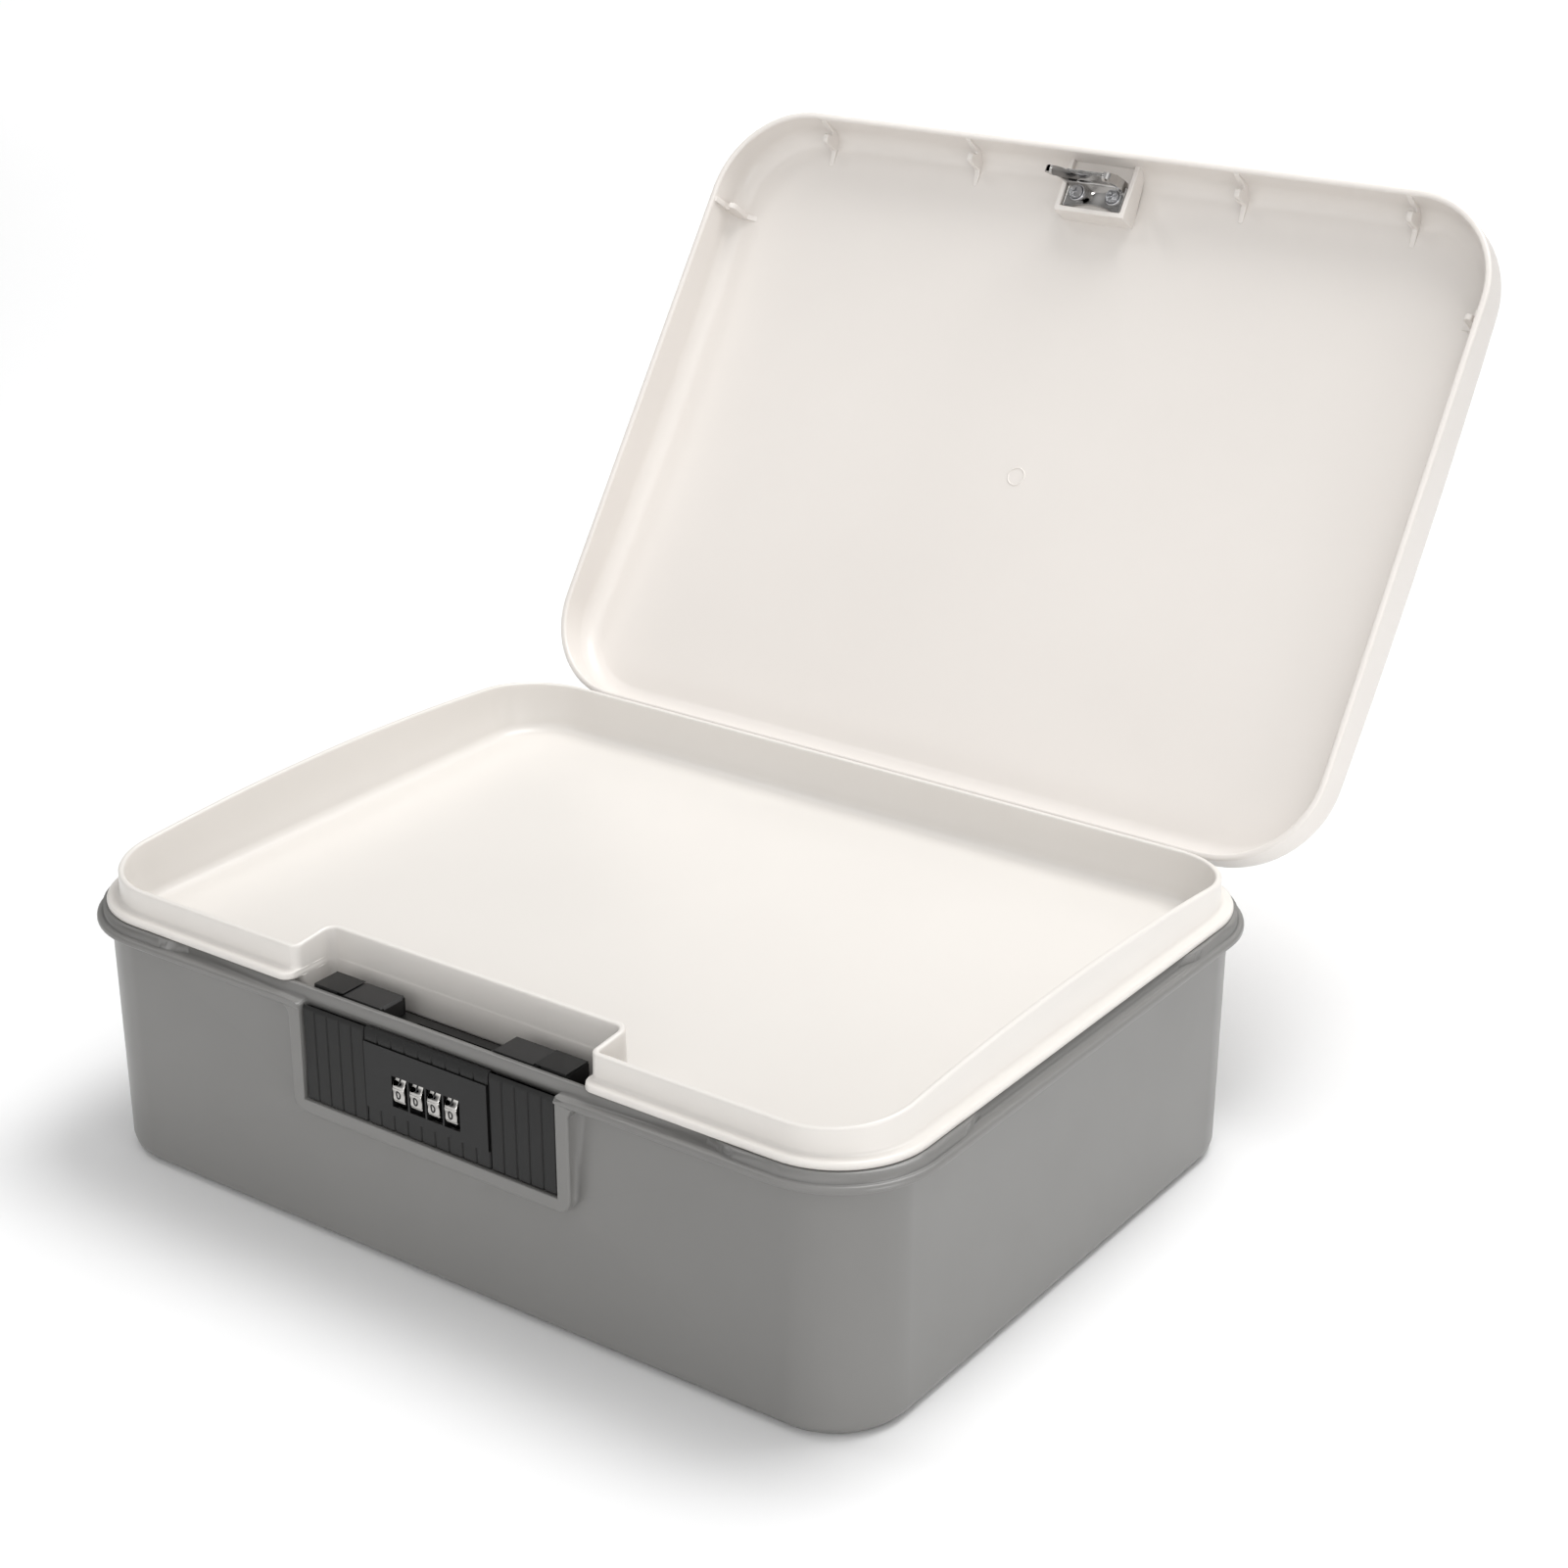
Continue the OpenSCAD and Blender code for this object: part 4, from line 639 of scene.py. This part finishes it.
def tray_shell():
    """The tray as rings: underside, basin wall, flange, outer wall, arched edge, inner wall, rounding, floor.
    A row is the inset of the outline and of the notch, the radii of the corners beside the notch and of its
    inner corners, the level, and whether the level is a drop below the arched edge or a height."""
    wall, inside, low, foot = FLANGE_W, FLANGE_W + TRAY_T, TRAY_FLOOR - TRAY_T, -0.1
    rows = [
        (9.6, 1.0, 1.0, 4.0, low, 0),
        (8.4, 0.0, 1.5, 3.2, low, 0),
        (7.2, foot, 2.0, 2.8, low + 0.5, 0),
        (6.6, foot, 2.4, 2.8, low + 1.4, 0),
        (5.2, foot, 2.6, 2.8, FLANGE_Z0 - 2.0, 0),
        (4.9, foot, 2.6, 2.8, FLANGE_Z0 - 0.2, 0),
        (4.4, foot, 3.2, 2.8, FLANGE_Z0, 0),
        (0.5, foot, 4.2, 2.8, FLANGE_Z0, 0),
        (0.1, foot, 4.2, 2.8, FLANGE_Z0 + 0.3, 0),
        (0.0, foot, 4.2, 2.8, FLANGE_Z0 + 0.7, 0),
        (0.0, -0.09, 4.2, 2.8, FLANGE_Z0 + 1.0, 0),
        (0.0, -0.03, 4.2, 2.9, FLANGE_Z0 + 1.3, 0),
        (0.0, 0.0, 4.2, NOTCH_R, FLANGE_Z1 - 0.9, 0),
        (0.25, 0.0, 4.0, NOTCH_R, FLANGE_Z1 - 0.3, 0),
        (0.9, 0.0, 3.8, NOTCH_R, FLANGE_Z1, 0),
        (2.4, 0.0, 3.4, NOTCH_R, FLANGE_Z1, 0),
        (wall - 1.0, 0.0, 3.2, NOTCH_R, FLANGE_Z1 + 0.05, 0),
        (wall - 0.3, 0.0, NOTCH_R, NOTCH_R, FLANGE_Z1 + 0.35, 0),
        (wall, 0.0, NOTCH_R, NOTCH_R, FLANGE_Z1 + 1.1, 0),
        (wall, 0.0, NOTCH_R, NOTCH_R, 3.0, 1),
        (wall, 0.0, NOTCH_R, NOTCH_R, 1.0, 1),
    ]
    over = [(inset, drop) for inset, drop in rounding(TRAY_EDGE_R, 0, 90, 5)[1:]]
    over += [(TRAY_T - inset, drop) for inset, drop in rounding(TRAY_EDGE_R, 90, 0, 5)]
    rows += [(wall + inset, inset, NOTCH_R - inset, NOTCH_R + inset, drop, 1) for inset, drop in over]
    rows += [
        (inside, TRAY_T, 1.0, 5.0, 2.5, 1),
        (inside + 0.1, TRAY_T + 0.1, 0.9, 5.0, 92.5, 0),
        (inside + 0.9, TRAY_T + 0.2, 0.8, 5.0, 87.5, 0),
        (inside + 1.5, TRAY_T + 0.3, 0.7, 5.0, 85.2, 0),
    ]
    rows += [(inside + 1.5 + inset, TRAY_T + 0.3 + inset, 0.6, 5.0 + inset, TRAY_FLOOR + drop, 0)
             for inset, drop in rounding(TRAY_FLOOR_R, 12, 90, 8)]
    rows.append((inside + 7.5, TRAY_T + 6.3, 0.6, 10.0, TRAY_FLOOR, 0))
    outer, notch, beside, bay, level, hung = np.array(rows).T
    flat = tray_rings(outer, notch, beside, bay)
    level = level[:, None]
    z = np.where(hung[:, None] > 0, tray_top(flat[..., 1]) - level, level)
    rings = np.concatenate([flat, z[..., None]], -1)
    count, around = flat.shape[:2]
    ring = np.arange(around)
    faces = ring_faces(count, around).tolist()
    faces += [ring[::-1].tolist(), ((count - 1) * around + ring).tolist()]
    piece = place_piece("tray_shell", rings.reshape(-1, 3), faces, "tray_plastic", "tray_body")
    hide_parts("tray")


# Number wheels

def number_block(number):
    """One plain number, centred and NUMBER_H tall: the points of its flat outline, and the faces of a closed
    block between two copies of them: the flat face, the same face turned round, and strips on its borders."""
    cap_height, longest, close = 0.72, 0.3, 1e-5
    text = bpy.data.curves.new("number", "FONT")
    text.body = str(number)
    text.size = 1.0
    text.resolution_u = 4
    text.offset = 0.03
    temporary = bpy.data.objects.new("number", text)
    bpy.context.scene.collection.objects.link(temporary)
    bm = bmesh.new()
    bm.from_mesh(temporary.to_mesh())
    bmesh.ops.triangulate(bm, faces=bm.faces)
    bmesh.ops.remove_doubles(bm, verts=bm.verts, dist=close)
    bmesh.ops.subdivide_edges(bm, edges=[e for e in bm.edges if e.calc_length() > longest], cuts=1)
    bmesh.ops.triangulate(bm, faces=bm.faces)
    bm.verts.index_update()
    points = np.array([v.co[:2] for v in bm.verts])
    flat = np.array([[v.index for v in f.verts] for f in bm.faces])
    border = np.array([[v.index for v in e.verts] for e in bm.edges if e.is_boundary])
    bm.free()
    temporary.to_mesh_clear()
    bpy.data.objects.remove(temporary)
    bpy.data.curves.remove(text)
    strips = np.column_stack([border, border[:, ::-1] + len(points)])
    faces = flat.tolist() + (flat[:, ::-1] + len(points)).tolist() + strips.tolist()
    middle = (points.min(0) + points.max(0)) / 2
    return (points - middle) * NUMBER_H / cap_height, faces


def wheel_radius(turn):
    """Radius round a wheel, turn in degrees from the front, downwards: R - hollow cos^2 over each tile, so
    that the tiles are hollow between their ridges, less a fine bell-shaped groove on each ridge."""
    half, groove_width = TILE_ANGLE / 2, 0.9
    near = (turn - SHOWN_TURN + half) % TILE_ANGLE - half
    groove = RIDGE_GROOVE * np.exp(-((half - np.abs(near)) / groove_width) ** 2)
    return WHEEL_R - TILE_HOLLOW * np.cos(np.radians(near * 90 / half)) ** 2 - groove


def on_wheel(x, turn, radius):
    """Points of a wheel: x along its axis, turn in degrees from the front downwards, and radius."""
    a = np.radians(turn)
    return np.stack([x, WHEEL_Y - radius * np.cos(a), WHEEL_Z - radius * np.sin(a)], -1)


def number_wheel(index):
    """A wheel as rings along its axis, each at wheel_radius less the ring's inset, from one end of its bore
    over the rounded rim and back through the bore."""
    x = (index - 2.5) * WHEEL_PITCH
    half = WHEEL_W / 2
    turn = np.arange(0, 360, 1.5)
    rim = [(-half, 2.2), (-half, 0.5), (-half + 0.1, 0.2), (-half + 0.3, 0.04), (-half + 0.5, 0), (-0.6, 0)]
    rim += [(-along, inset) for along, inset in rim[::-1]]
    rings = [on_wheel(np.full(turn.shape, x + along), turn, wheel_radius(turn) - inset)
             for along, inset in rim]
    rings += [on_wheel(np.full(turn.shape, x + along), turn, np.full(turn.shape, WHEEL_BORE))
              for along in (half, -half)]
    points = np.concatenate(rings)
    faces = (ring_faces(len(rings) + 1, len(turn)) % len(points)).tolist()
    wheel = place_piece(f"wheel_{index}", points, faces, "wheel_chrome", f"wheel_{index}_body")
    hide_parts(f"number_wheel_{index}")


def wheel_numbers(index):
    """Ten dark numbers, a tile apart, set into a wheel's tiles and standing a hair proud of them."""
    x = (index - 2.5) * WHEEL_PITCH
    numbers = []
    for number in range(10):
        flat, faces = number_block(number)
        turn = SHOWN_TURN - TILE_ANGLE * number - np.degrees(flat[:, 1] / WHEEL_R)
        layers = [on_wheel(x + flat[:, 0], turn, wheel_radius(turn) + height)
                  for height in (NUMBER_OUT, -NUMBER_IN)]
        numbers.append((np.concatenate(layers), faces))
    points, faces = joined(numbers)
    name = f"wheel_{index}_numbers"
    place_piece(name, points, faces, "wheel_chrome", f"wheel_{index}_body", finish=number_paint)


# Case and lock

def rim_weights(middle):
    """Share of the widest rounding for each edge of the case, from the edge's middle point: whole along the
    rim's outer top edge, less along its lower edge, its front lip and the lock's frame, none elsewhere."""
    near = 0.1
    x, y, z = np.abs(middle[:, 0]), middle[:, 1], middle[:, 2]
    out_x = np.maximum(x - (RIM_W / 2 - RIM_R), 0)
    out_y = np.maximum(np.abs(y) - (RIM_D / 2 - RIM_R), 0)
    outside = np.hypot(out_x, out_y) > RIM_R - 0.3
    on_top = np.abs(z - RIM_TOP) < near
    front_lip = on_top & (y < -114) & (y > -118) & (x < PAD_HALF)
    share = np.where(outside & on_top, 1.0, 0.0)
    share = np.where(outside & (np.abs(z - RIM_LOW) < near), 0.45, share)
    share = np.where(front_lip, 0.6, share)
    frame_edge = (np.abs(y - FRAME_Y) < near) & (z < RIM_LOW - 0.3)
    frame_share = np.where((x > FRAME_HALF) | (z < FRAME_LOW), 0.75, 0.3)
    return np.where(frame_edge, frame_share, share)


def tower_tops():
    """A thin fixed top on the outer part of each tower. It overhangs inwards, above the bolt's cap, so that
    the cap slides under it."""
    profile = np.array([(TOWER_IN, TOWER_TOP), (TOWER_OUT, TOWER_TOP), (TOWER_OUT, COVER_TOP),
                        (COVER_IN, COVER_TOP), (COVER_IN, COVER_LEDGE), (TOWER_IN, COVER_LEDGE)])
    points, faces = joined([prism(profile * (side, 1), TOWER_Y0, TOWER_Y1, along_y) for side in (-1, 1)])
    tops = place_piece("tower_tops", points, faces, "lock_plastic", "case_body")
    round_edges(tops, width=0.18, angle=40)


lid_shell()
lid_clips()
latch_boss()
lid_knuckles()
lid_stop_lugs()
gate_ring()
latch_plate()
screw_washers()
tower_tops()
tray_shell()
for wheel_index in (1, 2, 3, 4):
    number_wheel(wheel_index)
    wheel_numbers(wheel_index)

EDGE_WIDTH = {
    "case": 1.2, "front_cover": 0.12, "window_plate": 0.15, "thumb_pad_left": 0.12,
    "thumb_pad_right": 0.12, "lock_housing": 0.2, "latch_bolt_left": 0.2, "latch_bolt_right": 0.2,
    "bracket_screws": 0.1,
}
redrawn = ["lid", "tray", "latch_bracket"] + [f"number_wheel_{k}" for k in (1, 2, 3, 4)]
for node, obj in nodes.items():
    if node in EDGE_WIDTH:
        softened(node, EDGE_WIDTH[node], 3, rim_weights if node == "case" else None)
    elif node not in redrawn:
        obj.data.materials.clear()
        obj.data.materials.append(finishes[node_slot[node]].mat)


# Studio

ALL_ROUND = 0.48
SURROUNDINGS = (  # direction, cosines where a lobe starts and is full, strength
    ((0, 0, 1), 0.5, 0.95, 0.51),
    ((-0.48, -0.5, 0.72), 0.82, 0.93, -0.8),
    ((0, -1, 0.25), 0.5, 0.95, 1.0),
    ((-1, 0, 0.25), 0.5, 0.95, -0.3),
    ((0, 1, 0.25), 0.5, 0.95, -0.28))
PANELS = (  # name, place, aim, width and height, power, spread
    ("top_panel", (0.3, 0.5, 1.65), (0, 0, 0.05), (0.9, 0.9), 18.5, math.pi),
    ("edge_panel", (-0.95, -0.35, 1.5), (0, 0, 0.08), (0.3, 0.3), 2.6, math.pi),
    ("low_panel", (1.0, -0.25, 0.12), (0.15, 0, 0.04), (0.5, 0.2), 0.4, 1.2),
    ("back_panel", (-1.4, 2.2, 1.8), (-1.4, 2.2, 0), (3.0, 2.4), 15, 1.6))
FLOOR_HALF, FLOOR_Z, FLOOR_STEPS = 6.0, -0.0002, 13
AZIMUTH, ELEVATION = 35.703, 22.941
CAMERA_PLACE, LENS, SENSOR = (0.53314, -0.67776, 0.49320), 67.445, 36


def soft_panel(name, place, aim, size, power, spread):
    """A rectangular light at place, turned towards aim; spread is the angle of its cone in radians."""
    light = bpy.data.lights.new(name, "AREA")
    light.shape = "RECTANGLE"
    light.size, light.size_y = size
    light.energy = power
    light.spread = spread
    panel = bpy.data.objects.new(name, light)
    panel.location = place
    panel.rotation_euler = (Vector(aim) - Vector(place)).to_track_quat("-Z", "Y").to_euler()
    bpy.context.scene.collection.objects.link(panel)


def studio_floor():
    """A flat grid over x and y, from -FLOOR_HALF to FLOOR_HALF, at height FLOOR_Z."""
    side = np.linspace(-FLOOR_HALF, FLOOR_HALF, FLOOR_STEPS)
    x, y = np.meshgrid(side, side)
    points = np.stack([x.ravel(), y.ravel(), np.full(x.size, FLOOR_Z)], 1)
    cell = (np.arange(FLOOR_STEPS - 1)[:, None] * FLOOR_STEPS + np.arange(FLOOR_STEPS - 1)).ravel()
    faces = np.stack([cell, cell + 1, cell + FLOOR_STEPS + 1, cell + FLOOR_STEPS], 1)
    mesh = bpy.data.meshes.new("studio_floor")
    mesh.from_pydata(points.tolist(), [], faces.tolist())
    floor = bpy.data.objects.new("studio_floor", mesh)
    bpy.context.scene.collection.objects.link(floor)
    finish = Finish("floor_white")
    finish.set(Roughness=0.85)
    finish.tinted(finish.noise(3, 2), (0.9, 0.9, 0.9), (0.88, 0.88, 0.88))
    mesh.materials.append(finish.mat)


def studio_world():
    """Pale surroundings: one strength all round, plus soft lobes that brighten or darken them towards a side,
    each growing smoothly with the cosine between its direction and the direction looked at."""
    world = bpy.data.worlds.new("studio")
    bpy.context.scene.world = world
    world.use_nodes = True
    tree = world.node_tree
    background = tree.nodes["Background"]
    place = tree.nodes.new("ShaderNodeTexCoord")
    total = None
    for direction, start, full, strength in SURROUNDINGS:
        cosine = tree.nodes.new("ShaderNodeVectorMath")
        cosine.operation = "DOT_PRODUCT"
        cosine.inputs[1].default_value = Vector(direction).normalized()
        lobe = tree.nodes.new("ShaderNodeMapRange")
        lobe.interpolation_type = "SMOOTHSTEP"
        ends = {"From Min": start, "From Max": full, "To Min": 0.0, "To Max": strength}
        for socket, value in ends.items():
            lobe.inputs[socket].default_value = value
        tree.links.new(place.outputs["Generated"], cosine.inputs[0])
        tree.links.new(cosine.outputs["Value"], lobe.inputs["Value"])
        both = tree.nodes.new("ShaderNodeMath")
        both.operation = "ADD"
        both.inputs[0].default_value = ALL_ROUND
        if total is not None:
            tree.links.new(total, both.inputs[0])
        tree.links.new(lobe.outputs["Result"], both.inputs[1])
        total = both.outputs["Value"]
    tree.links.new(total, background.inputs["Strength"])
    background.inputs["Color"].default_value = (1, 1, 1, 1)


def photo_camera():
    """Camera at the photograph's viewing angle."""
    camera = bpy.data.objects.new("camera", bpy.data.cameras.new("camera"))
    camera.data.sensor_width = SENSOR
    camera.data.lens = LENS
    camera.data.clip_start, camera.data.clip_end = 0.05, 30
    camera.location = CAMERA_PLACE
    camera.rotation_euler = (math.radians(90 - ELEVATION), 0, math.radians(AZIMUTH))
    bpy.context.scene.collection.objects.link(camera)
    bpy.context.scene.camera = camera


studio_floor()
studio_world()
for panel in PANELS:
    soft_panel(*panel)
photo_camera()
bpy.context.scene.view_settings.view_transform = "Standard"
